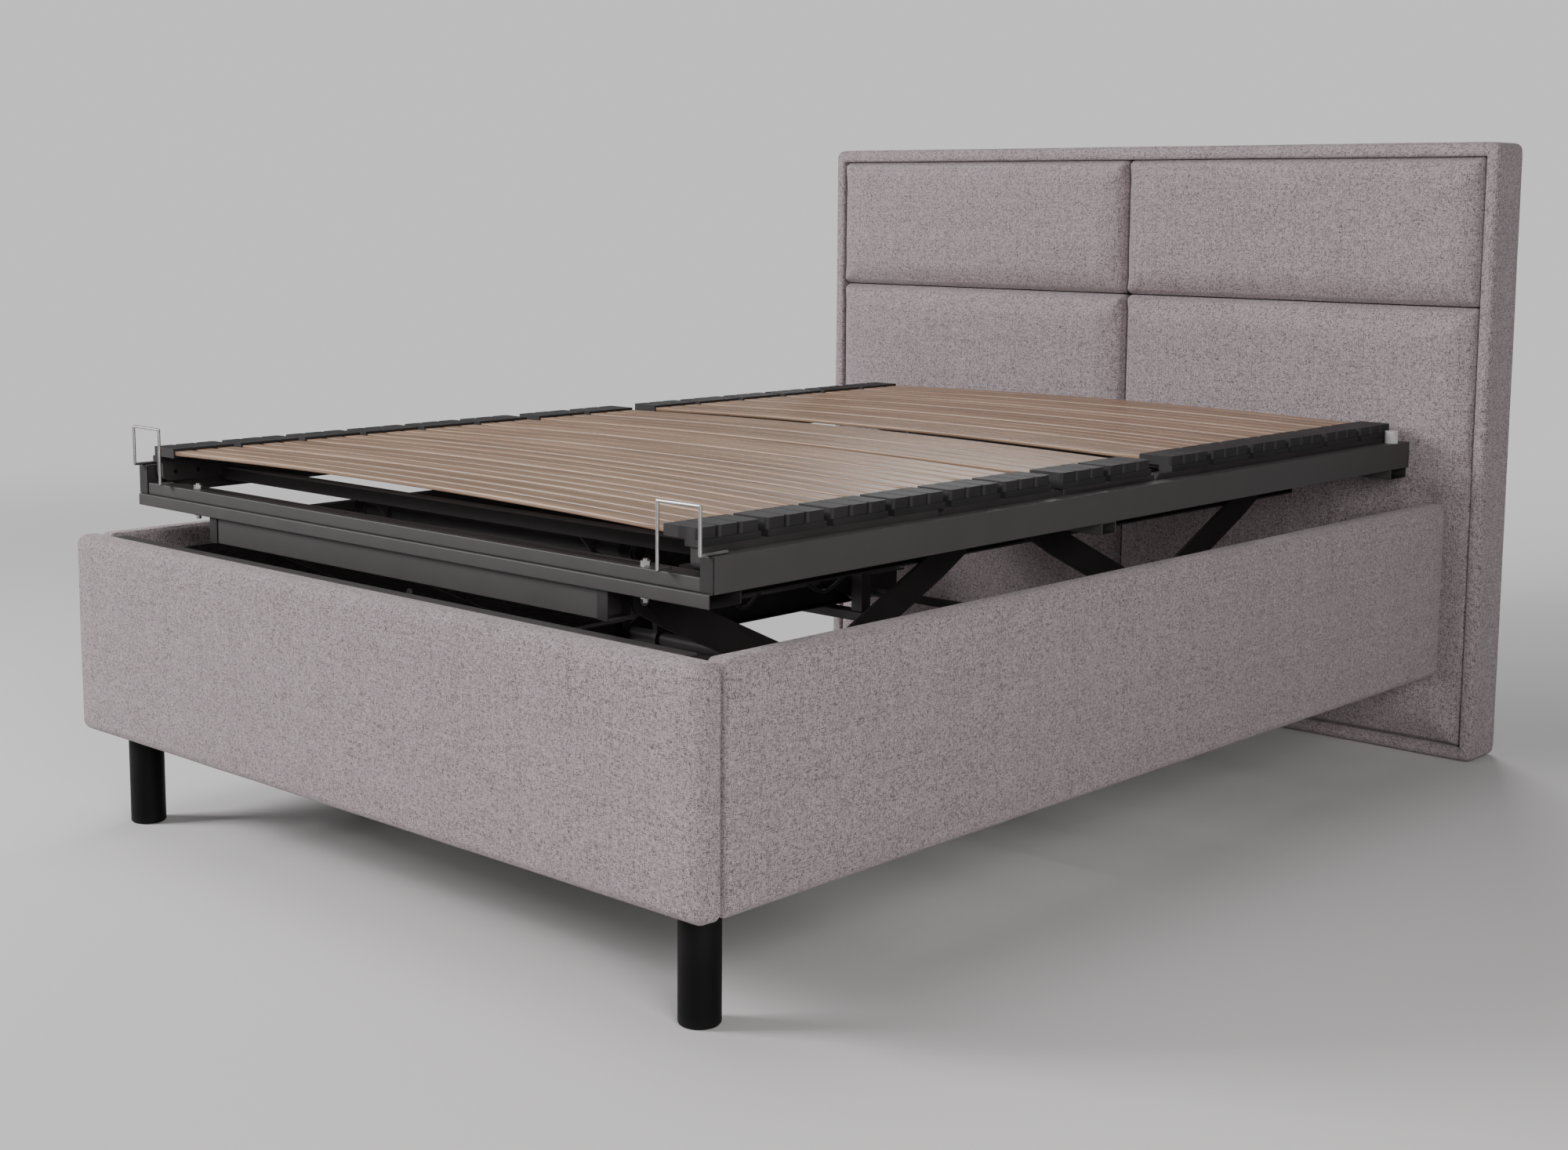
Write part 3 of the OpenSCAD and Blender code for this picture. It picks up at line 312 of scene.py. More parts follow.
def plated(name, colour, roughness):
    """Zinc or satin steel with fine drawn lines and slight clouding."""
    g = Graph(name)
    p = g.coordinates()
    cloud = g.noise(p, 60.0, 4.0, 0.6)
    lines = g.noise(g.scaled(p, (1.0, 40.0, 40.0)), 40.0, 2.0, 0.5)
    tone = g.mix(g.mask(cloud, 0.35, 0.7), shade(colour, 0.78), (*colour, 1))
    rough = g.maths("MULTIPLY_ADD", cloud, 0.2, roughness - 0.1)
    return g.finish(tone, rough, g.bump(lines, 0.00003, 0.4), Metallic=1.0)


def wood(name, along, pale, brown, laminated):
    """Wood with long rays and growth lines along one axis, and a veneer's layers on its edges."""
    g = Graph(name)
    p = g.coordinates()
    growth = g.noise(g.scaled(p, tuple(0.05 if i == along else 1.0 for i in range(3))), 46.0, 5.0, 0.62)
    rays = g.noise(g.scaled(p, tuple(1.0 if i == along else 8.0 for i in range(3))), 60.0, 2.0, 0.6)
    _, y, z = g.separate(p)
    tone = g.ramp(growth, [(0.32, brown), (0.5, between(pale, brown, 0.5)), (0.68, pale)])
    tone = g.mix(g.mask(rays, 0.58, 0.66, 0.35), tone, shade(brown, 0.62))
    piece = g.node("ShaderNodeTexWhiteNoise", noise_dimensions="1D")
    g.link(g.maths("FLOOR", g.maths("DIVIDE", y, 0.041)), piece.inputs["W"])
    value = g.maths("MULTIPLY_ADD", piece.outputs[0], 0.22, 0.86)
    tone = g.mix(1.0, tone, g.combine(value, value, value), "MULTIPLY")
    if laminated:
        layer = g.maths("SINE", g.maths("MULTIPLY", z, 2 * math.pi / 0.0032))
        normal = g.separate(g.node("ShaderNodeNewGeometry").outputs["Normal"])
        side = g.maths("ABSOLUTE", normal[1])
        edge = g.maths("MULTIPLY", g.mask(side, 0.55, 0.85), g.mask(layer, 0.45, 0.9, 0.6))
        tone = g.mix(edge, tone, shade(brown, 0.5))
    relief = g.bump(g.maths("ADD", growth, g.maths("MULTIPLY", rays, 0.4)), 0.00018, 0.4)
    rough = g.maths("MULTIPLY_ADD", growth, 0.18, 0.36)
    return g.finish(tone, rough, relief, Coat_Weight=0.25, Coat_Roughness=0.3, Specular_IOR_Level=0.4)


def board(name, colour, chip):
    """Pressed board with chips showing through a thin foil."""
    g = Graph(name)
    p = g.coordinates()
    cells = g.node("ShaderNodeTexVoronoi")
    g.link(g.scaled(p, (1.0, 0.35, 1.0)), cells.inputs["Vector"])
    cells.inputs["Scale"].default_value = 190.0
    mottle = g.noise(p, 30.0, 5.0, 0.6)
    tone = g.mix(g.mask(cells.outputs["Color"], 0.2, 0.8), (*colour, 1), (*chip, 1))
    tone = g.mix(g.maths("MULTIPLY", mottle, 0.4), tone, shade(colour, 0.6))
    return g.finish(tone, 0.72, g.bump(cells.outputs["Distance"], 0.0001, 0.5), Specular_IOR_Level=0.3)


def fleece(name, colour):
    """Thin non-woven cloth with a pressed dot pattern."""
    g = Graph(name)
    p = g.coordinates()
    dots = g.node("ShaderNodeTexVoronoi")
    g.link(p, dots.inputs["Vector"])
    dots.inputs["Scale"].default_value = 420.0
    fibre = g.noise(g.scaled(p, (1.0, 1.0, 0.3)), 700.0, 4.0, 0.7)
    tone = g.mix(fibre, shade(colour, 0.6), shade(colour, 1.5))
    height = g.maths("ADD", g.maths("MULTIPLY", dots.outputs["Distance"], 0.6),
                     g.maths("MULTIPLY", fibre, 0.5))
    return g.finish(tone, 0.9, g.bump(height, 0.0002, 0.6), Sheen_Weight=0.1, Specular_IOR_Level=0.2)


fabric = melange_weave("melange_fabric", (0.435, 0.37, 0.388), (0.085, 0.066, 0.070))
frame_steel = powder_coat("frame_steel", (0.0235, 0.0205, 0.021), 0.50)
arm_steel = powder_coat("arm_steel", (0.014, 0.012, 0.012), 0.52)
leg_lacquer = powder_coat("leg_lacquer", (0.0012, 0.001, 0.001), 0.55, 300.0, 0.00002, 0.14)
zinc = plated("zinc_steel", (0.50, 0.49, 0.485), 0.36)
black_plastic = moulded("black_plastic", (0.010, 0.0085, 0.0085), 0.48)
grey_plastic = moulded("grey_plastic", (0.42, 0.41, 0.41), 0.42)
holder_rubber = moulded("holder_rubber", (0.013, 0.012, 0.0125), 0.62, 900.0, 0.00005)
lead_sheath = moulded("lead_sheath", (0.012, 0.012, 0.012), 0.38, 500.0, 0.00002)
slat_beech = wood("beech", 0, (0.36, 0.235, 0.155), (0.20, 0.118, 0.072), laminated=True)
spruce = wood("batten_wood", 0, (0.72, 0.55, 0.36), (0.55, 0.37, 0.2), laminated=False)
panel_board = board("panel_board", (0.035, 0.031, 0.032), (0.055, 0.049, 0.050))
backing = fleece("backing_cloth", (0.034, 0.033, 0.035))

FINISHES = {
    panel_board: ["foot_board", "side_board_left", "side_board_right", "headboard_board",
                  "corner_blocks"],
    spruce: ["headboard_battens"],
    backing: ["headboard_back"],
    frame_steel: ["panel_brackets", "support_angles", "base_cross_tubes", "base_rails",
                  "frame_rail_left", "frame_rail_right", "foot_beams", "head_beams",
                  "subframe_rails", "subframe_beams", "seat_frame", "back_frame", "thigh_frame",
                  "calf_frame", "leg_plates"],
    arm_steel: ["foot_outer_arms", "foot_inner_arms", "head_outer_arms", "head_inner_arms"],
    zinc: ["foot_outer_rollers", "foot_inner_rollers", "head_outer_rollers", "head_inner_rollers",
           "foot_spindle", "head_spindle", "frame_bolts", "mattress_retainers", "back_slider",
           "thigh_slider"],
    black_plastic: ["lift_motor_foot", "lift_motor_head", "frame_end_caps", "drive_housing",
                    "control_box"],
    grey_plastic: ["head_posts"],
    holder_rubber: ["seat_slat_holders", "back_slat_holders", "thigh_slat_holders",
                    "calf_slat_holders"],
    slat_beech: ["seat_slats", "back_slats", "thigh_slats", "calf_slats"],
    leg_lacquer: ["legs"],
    lead_sheath: ["frame_lead"],
    fabric: ["foot_padding", "side_padding_left", "side_padding_right", "headboard_border",
             "headboard_pad_upper_left", "headboard_pad_upper_right", "headboard_pad_lower_left",
             "headboard_pad_lower_right"],
}

# The width of the bevel on a node's edges: the first key that the node's name holds counts
ROUNDING = {"slats": 0.0026, "holders": 0.0022, "rail": 0.0016, "beams": 0.0016, "frame": 0.0014,
            "tubes": 0.0015, "arms": 0.0008, "housing": 0.003, "box": 0.0025, "motor": 0.002,
            "board": 0.0008, "blocks": 0.0015, "brackets": 0.0006, "angles": 0.0006,
            "plates": 0.0006, "posts": 0.0012, "back_slider": 0.001}
BEVEL_ANGLE = math.radians(38)
WELD_REACH = 0.00001


def round_edges(owner, width):
    owner.modifiers.new("weld", "WELD").merge_threshold = WELD_REACH
    bevel = owner.modifiers.new("bevel", "BEVEL")
    bevel.width = width
    bevel.segments = 2
    bevel.limit_method = "ANGLE"
    bevel.angle_limit = BEVEL_ANGLE
    owner.modifiers.new("normals", "WEIGHTED_NORMAL")


for material, names in FINISHES.items():
    for name in names:
        owner = nodes[name]
        if not owner.material_slots:
            owner.data.materials.append(material)
        for slot in owner.material_slots:
            slot.material = material
        width = next((w for key, w in ROUNDING.items() if key in name), None)
        if width:
            round_edges(owner, width)


# --- Meshes --------------------------------------------------------------------------------

def add_mesh(name, points, faces, material, uv=None):
    mesh = bpy.data.meshes.new(name)
    mesh.from_pydata([tuple(p) for p in points], [], [tuple(f) for f in faces])
    if uv is not None:
        layer = mesh.uv_layers.new(name="cloth")
        layer.data.foreach_set("uv", np.asarray(uv, np.float32).ravel())
    mesh.materials.append(material)
    mesh.polygons.foreach_set("use_smooth", [True] * len(mesh.polygons))
    mesh.update()
    return add_object(name, mesh)


def spaced(low, high, r_low, r_high, step, rounds=6):
    """Places along one axis: close together over each rounded end and about a step apart between."""
    a, b = low + r_low, high - r_high
    count = max(2, round((b - a) / step))
    return np.concatenate([low + r_low * np.linspace(0, 1, rounds, endpoint=False),
                           np.linspace(a, b, count + 1),
                           b + r_high * np.linspace(0, 1, rounds)[1:]])


def soft_box(name, low, high, r_low, r_high, step, skip=None):
    """A closed padded box in cloth, and its points before rounding. Each side of each axis has its
    own depth of rounding, and the UV map runs on round the edges in metres.
    skip(axis, end, centre) leaves faces out."""
    low, high, r_low, r_high = (np.array(v, float) for v in (low, high, r_low, r_high))
    grid = [spaced(low[k], high[k], r_low[k], r_high[k], step[k]) for k in range(3)]
    index, points, faces, sides = {}, [], [], []

    def at(key):
        if key not in index:
            index[key] = len(points)
            points.append([grid[k][key[k]] for k in range(3)])
        return index[key]

    for axis in range(3):
        first, second = [k for k in range(3) if k != axis]
        for end in (0, 1):
            fixed = len(grid[axis]) - 1 if end else 0
            for i in range(len(grid[first]) - 1):
                for j in range(len(grid[second]) - 1):
                    ring = [(i, j), (i + 1, j), (i + 1, j + 1), (i, j + 1)]
                    if (axis != 1) != bool(end):
                        ring = ring[::-1]
                    keys = []
                    for a, b in ring:
                        key = [0, 0, 0]
                        key[axis], key[first], key[second] = fixed, a, b
                        keys.append(tuple(key))
                    centre = np.mean([[grid[k][key[k]] for k in range(3)] for key in keys], 0)
                    if skip and skip(axis, end, centre):
                        continue
                    faces.append([at(key) for key in keys])
                    sides.append((axis, end))
    raw = np.array(points)

    thin = int(np.argmin(high - low))
    wide, tall = [k for k in range(3) if k != thin]
    uv = []
    for face, (axis, end) in zip(faces, sides):
        for p in raw[face]:
            u, v = p[wide], p[tall]
            depth = (p[thin] - low[thin]) * (1 if end else -1)
            if axis == wide:
                u += depth
            elif axis == tall:
                v += depth
            uv.append((u, v))

    inner = np.clip(raw, low + r_low, high - r_high)
    reach = np.where(raw < low + r_low, r_low, np.where(raw > high - r_high, r_high, 1.0))
    d = (raw - inner) / np.maximum(reach, 1e-9)
    length = np.linalg.norm(d, axis=1, keepdims=True)
    unit = np.where(length > 0, d / np.maximum(length, 1e-9), 0)
    return add_mesh(name, inner + unit * reach, faces, fabric, uv), raw


def ripple(made, depth, scale, seed, free):
    """Moves the free points in and out a little, as hand-stretched cloth over foam does."""
    mesh = made.data
    normals = [v.normal.copy() for v in mesh.vertices]
    for vertex, normal in zip(mesh.vertices, normals):
        share = free(vertex.co)
        if share > 0:
            wave = noise.noise(vertex.co * scale + Vector((seed, 0, 0)))
            fine = noise.noise(vertex.co * scale * 3.1 + Vector((0, seed, 0)))
            vertex.co += normal * depth * share * (wave + 0.4 * fine)
    mesh.update()


CLOTH = {"quality": 6, "mass": 0.25, "tension_stiffness": 18, "compression_stiffness": 18,
         "shear_stiffness": 6, "bending_stiffness": 0.8, "vertex_group_mass": "pinned",
         "use_pressure": True}
CLOTH_FRAMES = 16


def puff(made, pinned, pressure, cap):
    """Swells a padded piece by cloth simulation, keeps its pinned points and caps how far a point
    moves."""
    mesh = made.data
    rest = np.array([v.co for v in mesh.vertices])
    group = made.vertex_groups.new(name="pinned")
    group.add([int(i) for i in np.nonzero(pinned)[0]], 1.0, "REPLACE")
    cloth = made.modifiers.new("cloth", "CLOTH")
    for key, value in CLOTH.items():
        setattr(cloth.settings, key, value)
    cloth.settings.uniform_pressure_force = pressure
    cloth.settings.effector_weights.gravity = 0
    cloth.collision_settings.use_collision = False
    cloth.point_cache.frame_start, cloth.point_cache.frame_end = 1, CLOTH_FRAMES
    for step in range(1, CLOTH_FRAMES + 1):
        scene.frame_set(step)
    shaped = made.evaluated_get(bpy.context.evaluated_depsgraph_get())
    moved = np.array([v.co for v in shaped.data.vertices])
    made.modifiers.remove(cloth)
    made.vertex_groups.clear()
    scene.frame_set(1)
    shift = moved - rest
    far = np.linalg.norm(shift, axis=1, keepdims=True)
    shift *= np.minimum(1.0, cap * np.tanh(far / cap) / np.maximum(far, 1e-9))
    mesh.vertices.foreach_set("co", (rest + shift).astype(np.float32).ravel())
    mesh.update()


def finish_padded(made, node):
    """Smooths a padded piece, puts it on the bed frame's body and hides the CAD node it stands for."""
    modifier = made.modifiers.new("smooth", "SUBSURF")
    modifier.levels = modifier.render_levels = 1
    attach(made, "bed_frame")
    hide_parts(node)


# --- Upholstered box -----------------------------------------------------------------------

EDGE = 0.019                # rounding of a panel's padded edges
SEAM = 0.008                # rounding at a seam, and on the inside
SEAM_GAP = 0.008            # how far a seam is drawn in from the CAD solid's end
FLAP = 0.030                # cloth folded over onto the panel's inside
FLAP_ROLL = 0.012           # what the fold itself adds to the flap
STAND = 0.0012              # the flap's thickness over the board
COVER_STEP = [0.022, 0.022, 0.022]
COVER_PRESSURE, COVER_CAP = 2.2, 0.0016


def panel_cover(name, node, axis, outer, seam_ends):
    """The cloth over one panel: rounded outside, folded over the top and bottom and stapled inside.
    axis is the panel's thin axis, and outer is -1 or 1 for its outer side."""
    low, high = (list(v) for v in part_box(node))
    r_low, r_high = [EDGE] * 3, [EDGE] * 3
    inside = 1 if outer < 0 else 0
    (high if inside else low)[axis] += STAND if inside else -STAND
    (r_high if inside else r_low)[axis] = SEAM
    along = 1 - axis
    for end in seam_ends:
        (r_high if end else r_low)[along] = SEAM
        (high if end else low)[along] += -SEAM_GAP if end else SEAM_GAP
    z_low, z_high = low[2] + FLAP + FLAP_ROLL, high[2] - FLAP - FLAP_ROLL
    skin = low[axis] if outer < 0 else high[axis]

    def skip(face_axis, end, centre):
        return face_axis == axis and end == inside and z_low < centre[2] < z_high

    def free(p):
        return max(0.0, 1 - (skin - p[axis]) * outer / 0.03)

    made, raw = soft_box(name, low, high, r_low, r_high, COVER_STEP, skip)
    loose = ((abs(raw[:, axis] - skin) < 1e-6) | (abs(raw[:, 2] - high[2]) < 1e-6)
             | (abs(raw[:, 2] - low[2]) < 1e-6))
    ripple(made, 0.0007, 7.0, len(name) * 1.7, free)
    puff(made, ~loose, COVER_PRESSURE, COVER_CAP)
    finish_padded(made, node)


panel_cover("foot_panel_cover", "foot_padding", 1, -1, [])
panel_cover("side_panel_cover_left", "side_padding_left", 0, -1, [0])
panel_cover("side_panel_cover_right", "side_padding_right", 0, 1, [0])


# --- Headboard pads ------------------------------------------------------------------------

PAD_RIM = 0.012             # rounding round a pad's rim
PAD_FRONT, PAD_BACK = 0.015, 0.004
PAD_STEP = [0.019, 0.016, 0.019]
PAD_FACE = 0.014            # depth of the face that the cloth simulation moves
PAD_PRESSURE, PAD_CAP = 3.0, 0.005
PAD_SLOPE = 0.055           # width over which the face slopes up from its seams
PAD_CROWN = 0.012
BUTT_FADE = 0.045           # width over which the crown fades out at a side panel's end


def smooth_step(value):
    value = min(1.0, max(0.0, value))
    return value * value * (3 - 2 * value)


def headboard_pad(node):
    """A crowned foam pad: its face slopes up from its seams, the cloth simulation swells it, and it
    stays flat where a side panel's end butts against it."""
    low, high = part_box(node)
    face = low[1] + PAD_FACE
    made, raw = soft_box("cover_of_" + node, low, high, [PAD_RIM, PAD_FRONT, PAD_RIM],
                         [PAD_RIM, PAD_BACK, PAD_RIM], PAD_STEP)
    ripple(made, 0.0006, 6.0, len(node) * 2.3, lambda p: 1.0 if p[1] < low[1] + 0.01 else 0.0)
    puff(made, raw[:, 1] > face, PAD_PRESSURE, PAD_CAP)
    ends = [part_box("side_padding_" + side) for side in ("left", "right")]
    for vertex in made.data.vertices:
        p = vertex.co
        if p.y > face:
            continue
        rim = min(p.x - low[0], high[0] - p.x, p.z - low[2], high[2] - p.z)
        away = 1.0
        for end_low, end_high in ends:
            gap = max(end_low[0] - p.x, p.x - end_high[0], end_low[2] - p.z, p.z - end_high[2])
            away = min(away, smooth_step(gap / BUTT_FADE))
        if away < 1:
            p.y = min(p.y, low[1]) * away + max(p.y, low[1] + 0.0005) * (1 - away)
        slope = min(1.0, max(0.0, rim) / PAD_SLOPE)
        p.y -= PAD_CROWN * math.sin(0.5 * math.pi * slope) * away
    made.data.update()
    finish_padded(made, node)


for level in ("upper", "lower"):
    for side in ("left", "right"):
        headboard_pad(f"headboard_pad_{level}_{side}")


# --- Headboard border ----------------------------------------------------------------------

CORNER = 0.018              # rounding of the headboard's four corners
BORDER_OUTER, BORDER_INNER = 0.014, 0.006
BORDER_STEP = 0.025
MITRE_DIP = 0.0016          # how far the seam at a mitre is pulled in
MITRE_PLACES = [0, 0.003, 0.008, 0.018, 0.04]


def border_section(wide, y0, y1):
    """The border's outline, as places across it and along Y, from the field's side round the front."""

    def arc(across, y, r, start, steps=6):
        angles = [math.radians(start + 90 * i / steps) for i in range(steps + 1)]
        return [(across + r * math.cos(a), y + r * math.sin(a)) for a in angles]

    inner, outer = BORDER_INNER, BORDER_OUTER
    return (arc(inner, y0 + inner, inner, 180) + [(wide * 0.5, y0)]
            + arc(wide - outer, y0 + outer, outer, 270)
            + [(wide, y0 + (y1 - y0) * k / 5) for k in range(1, 5)]
            + arc(wide - outer, y1 - outer, outer, 0)
            + [(0.0, y1), (0.0, (y0 + y1) / 2), (0.0, y0 + 0.03)])


def headboard_border():
    """Four padded strips, mitred at the corners, as one swept ring with a seam at each mitre."""
    low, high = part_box("headboard_border")
    field_low, field_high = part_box("headboard_board")
    wide = field_low[0] - low[0]
    centre = (field_low + field_high) / 2
    half = ((field_high[0] - field_low[0]) / 2, (field_high[2] - field_low[2]) / 2)
    y0, y1 = low[1], high[1]
    section = border_section(wide, y0, y1)

    corners = [(-1, -1), (1, -1), (1, 1), (-1, 1)]
    margin = MITRE_PLACES[-1]
    columns = []
    run = 0.0
    for k in range(4):
        a, b = np.array(corners[k], float), np.array(corners[(k + 1) % 4], float)
        size = 2 * (half[0] if k % 2 == 0 else half[1])
        count = max(4, round((size - 2 * margin) / BORDER_STEP))
        places = (MITRE_PLACES + list(np.linspace(margin, size - margin, count + 1)[1:-1])
                  + [size - d for d in MITRE_PLACES[:0:-1]])
        columns += [(a + (b - a) * (place / size), place == 0, run + place) for place in places]
        run += size

    points = []
    middle = np.array([wide / 2, (y0 + y1) / 2])
    for (s, t), seam, _ in columns:
        for u, y in section:
            if seam:
                pull = middle - np.array([u, y])
                pull *= MITRE_DIP / max(np.linalg.norm(pull), 1e-9)
                u, y = u + pull[0], y + pull[1]
            points.append((centre[0] + s * (half[0] + u), y, centre[2] + t * (half[1] + u)))
    reach = np.array([half[0] + wide, half[1] + wide]) - CORNER
    for i, (x, y, z) in enumerate(points):
        flat = np.array([x - centre[0], z - centre[2]])
        inner = np.clip(flat, -reach, reach)
        d = flat - inner
        if abs(d).min() > 0:
            x, z = np.array([centre[0], centre[2]]) + inner + d * abs(d).max() / np.linalg.norm(d)
            points[i] = (x, y, z)

    edges = np.diff(np.array(section + section[:1]), axis=0)
    arcs = np.concatenate([[0], np.cumsum(np.linalg.norm(edges, axis=1))])
    faces, uv = [], []
    n, m = len(columns), len(section)
    for i in range(n):
        j = (i + 1) % n
        run_i, run_j = columns[i][2], columns[j][2] if j else run
        for k in range(m):
            q = (k + 1) % m
            faces.append((i * m + k, j * m + k, j * m + q, i * m + q))
            uv += [(run_i, arcs[k]), (run_j, arcs[k]), (run_j, arcs[k + 1]), (run_i, arcs[k + 1])]
    made = add_mesh("headboard_border_cover", points, faces, fabric, uv)
    work = bmesh.new()
    work.from_mesh(made.data)
    bmesh.ops.recalc_face_normals(work, faces=work.faces)
    work.to_mesh(made.data)
    work.free()
    ripple(made, 0.0005, 9.0, 4.0, lambda p: 1.0)
    finish_padded(made, "headboard_border")


headboard_border()


# --- Legs and small round parts ------------------------------------------------------------

def lathe(name, profile, place, direction, material, body, sides):
    """A turned piece: profile is (distance along the axis, radius) from its start."""
    turn = Vector((0, 0, 1)).rotation_difference(Vector(direction)).to_matrix()
    points, faces = [], []
    for z, r in profile:
        for k in range(sides):
            a = 2 * math.pi * k / sides
            points.append(turn @ Vector((r * math.cos(a), r * math.sin(a), z)) + Vector(place))
    for i in range(len(profile) - 1):
        for k in range(sides):
            j = (k + 1) % sides
            faces.append((i * sides + k, i * sides + j, (i + 1) * sides + j, (i + 1) * sides + k))
    faces.append(tuple(range(sides - 1, -1, -1)))
    faces.append(tuple((len(profile) - 1) * sides + k for k in range(sides)))
    made = add_mesh(name, points, faces, material)
    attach(made, body)
    return made


leg_low, leg_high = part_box("legs")
leg_r = (leg_high[1] - leg_low[1]) / 2
leg_y = (leg_low[1] + leg_high[1]) / 2
leg_top = leg_high[2]
leg_profile = [(0, leg_r - 0.004), (0.0006, leg_r - 0.0022), (0.002, leg_r - 0.0008), (0.004, leg_r),
               (0.02, leg_r), (leg_top / 2, leg_r), (leg_top - 0.003, leg_r),
               (leg_top - 0.001, leg_r - 0.0006), (leg_top, leg_r - 0.002)]
for side, x in (("right", leg_high[0] - leg_r), ("left", leg_low[0] + leg_r)):
    leg = lathe("leg_" + side, leg_profile, (x, leg_y, 0), (0, 0, 1), leg_lacquer,
                "bed_frame", 96)
    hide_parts("legs")

# The calf frame's cross tube in part.scad: its axis, half its length and its radius
TUBE_Y, TUBE_Z, TUBE_HALF, TUBE_R = -0.7955, 0.575, 0.345, 0.014
GRIP_OVERLAP = 0.004
RIBS, RIB_START, RIB_PITCH = 6, 0.007, 0.0035

grip_profile = [(0, TUBE_R + 0.0012), (0.001, TUBE_R + 0.003), (0.005, TUBE_R + 0.003),
                (0.006, TUBE_R + 0.0012)]
for rib in range(RIBS):
    start = RIB_START + rib * RIB_PITCH
    grip_profile += [(start, TUBE_R + 0.001), (start + 0.0005, TUBE_R + 0.0024),
                     (start + 0.0022, TUBE_R + 0.0024), (start + 0.0027, TUBE_R + 0.001)]
for side, name in ((-1, "calf_tube_grip_left"), (1, "calf_tube_grip_right")):
    lathe(name, grip_profile, (side * (TUBE_HALF - GRIP_OVERLAP), TUBE_Y, TUBE_Z), (-side, 0, 0),
          black_plastic, "calf_section", 48)


# --- Lead ----------------------------------------------------------------------------------

# The route of frame_lead as in part.scad, in millimetres, with Y from the foot face
LEAD_ROUTE = [
    (266, 1040, 540), (288, 1040, 538), (330, 1038, 530), (372, 1031, 517), (410, 1014, 510),
    (436, 988, 508), (449, 960, 514), (455, 930, 531), (456, 900, 544), (456, 860, 535),
    (455, 820, 524), (454, 780, 521), (455, 740, 532), (456, 700, 544), (456, 665, 533),
    (454, 630, 507), (452, 595, 491), (453, 560, 503), (455, 530, 533), (456, 500, 544),
    (456, 470, 535), (454, 440, 507), (453, 410, 489), (454, 380, 508), (455, 352, 536),
    (456, 330, 544), (456, 310, 544), (456, 290, 544)]
FOOT_Y = 1.0955
LEAD_D = 0.006


def spline_points(points, steps):
    """Points on the smooth curve through the route, as the CAD part draws it."""
    made = []
    for i in range(len(points) - 1):
        p0, p1 = points[max(0, i - 1)], points[i]
        p2, p3 = points[i + 1], points[min(len(points) - 1, i + 2)]
        for s in range(steps):
            t = s / steps
            made.append(tuple(
                0.5 * (2 * b + (c - a) * t + (2 * a - 5 * b + 4 * c - d) * t * t
                       + (3 * b - a - 3 * c + d) * t ** 3)
                for a, b, c, d in zip(p0, p1, p2, p3)))
    return made + [points[-1]]


def lead():
    points = spline_points([(x / 1000, y / 1000 - FOOT_Y, z / 1000) for x, y, z in LEAD_ROUTE], 6)
    data = bpy.data.curves.new("lead_from_box_to_drive", "CURVE")
    data.dimensions = "3D"
    data.bevel_depth = LEAD_D / 2
    data.bevel_resolution = 5
    spline = data.splines.new("POLY")
    spline.points.add(len(points) - 1)
    for point, place in zip(spline.points, points):
        point.co = (*place, 1)
    data.materials.append(lead_sheath)
    made = add_object("lead_from_box_to_drive", data)
    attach(made, "lift_frame")
    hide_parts("frame_lead")


lead()


# --- Staples -------------------------------------------------------------------------------

STAPLE_W, STAPLE_T, STAPLE_H = 0.0105, 0.0007, 0.0006
STAPLE_STAND = 0.0003       # how far a staple's middle stands off what it holds
PANEL_PITCH, BACK_PITCH = 0.058, 0.055
BACK_INSET = 0.012


def add_staple(work, place, size, tilt, axis):
    bmesh.ops.create_cube(work, size=1.0, matrix=Matrix.Translation(place)
                          @ Matrix.Rotation(tilt, 4, axis) @ Matrix.Diagonal((*size, 1)))


def finish_staples(name, work):
    mesh = bpy.data.meshes.new(name)
    work.to_mesh(mesh)
    work.free()
    mesh.materials.append(zinc)
    made = add_object(name, mesh)
    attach(made, "bed_frame")


def panel_staples(name, node, axis, inner_side):
    """Wire staples that hold the folded cloth to the inside of a panel, near its top and bottom."""
    low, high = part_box(node)
    along = 1 - axis
    size = [0.0, 0.0, STAPLE_H]
    size[along], size[axis] = STAPLE_W, STAPLE_T
    work = bmesh.new()
    place = low[along] + 0.07
    k = 0
    while place < high[along] - 0.06:
        for z in (high[2] - FLAP + 0.004, low[2] + FLAP - 0.004):
            tilt = 0.12 * noise.noise(Vector((place * 9, z * 5, k)))
            centre = [0.0, 0.0, z + 0.0015 * noise.noise(Vector((place * 7, 3, z)))]
            centre[axis] = (high if inner_side > 0 else low)[axis] + inner_side * (STAND + STAPLE_STAND)
            centre[along] = place
            add_staple(work, centre, size, tilt, "Y" if axis == 1 else "X")
        place += PANEL_PITCH
        k += 1
    bmesh.ops.bevel(work, geom=work.edges[:], offset=0.00015, segments=1, affect="EDGES")
    finish_staples(name, work)


def back_staples():
    """Staples round the edge of the headboard's backing cloth."""
    low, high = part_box("headboard_back")
    left, right = low[0] + BACK_INSET, high[0] - BACK_INSET
    bottom, top = low[2] + BACK_INSET, high[2] - BACK_INSET
    work = bmesh.new()
    for a, b, turn in (((left, bottom), (right, bottom), 0), ((left, top), (right, top), 0),
                       ((left, bottom), (left, top), math.pi / 2),
                       ((right, bottom), (right, top), math.pi / 2)):
        a, b = np.array(a), np.array(b)
        count = int(np.linalg.norm(b - a) / BACK_PITCH)
        for k in range(1, count):
            x, z = a + (b - a) * k / count
            tilt = 0.15 * noise.noise(Vector((x * 9, z * 9, 1))) + turn
            add_staple(work, (x, high[1] + STAPLE_STAND, z), (STAPLE_W, STAPLE_T, STAPLE_H), tilt, "Y")
    finish_staples("staples_back", work)


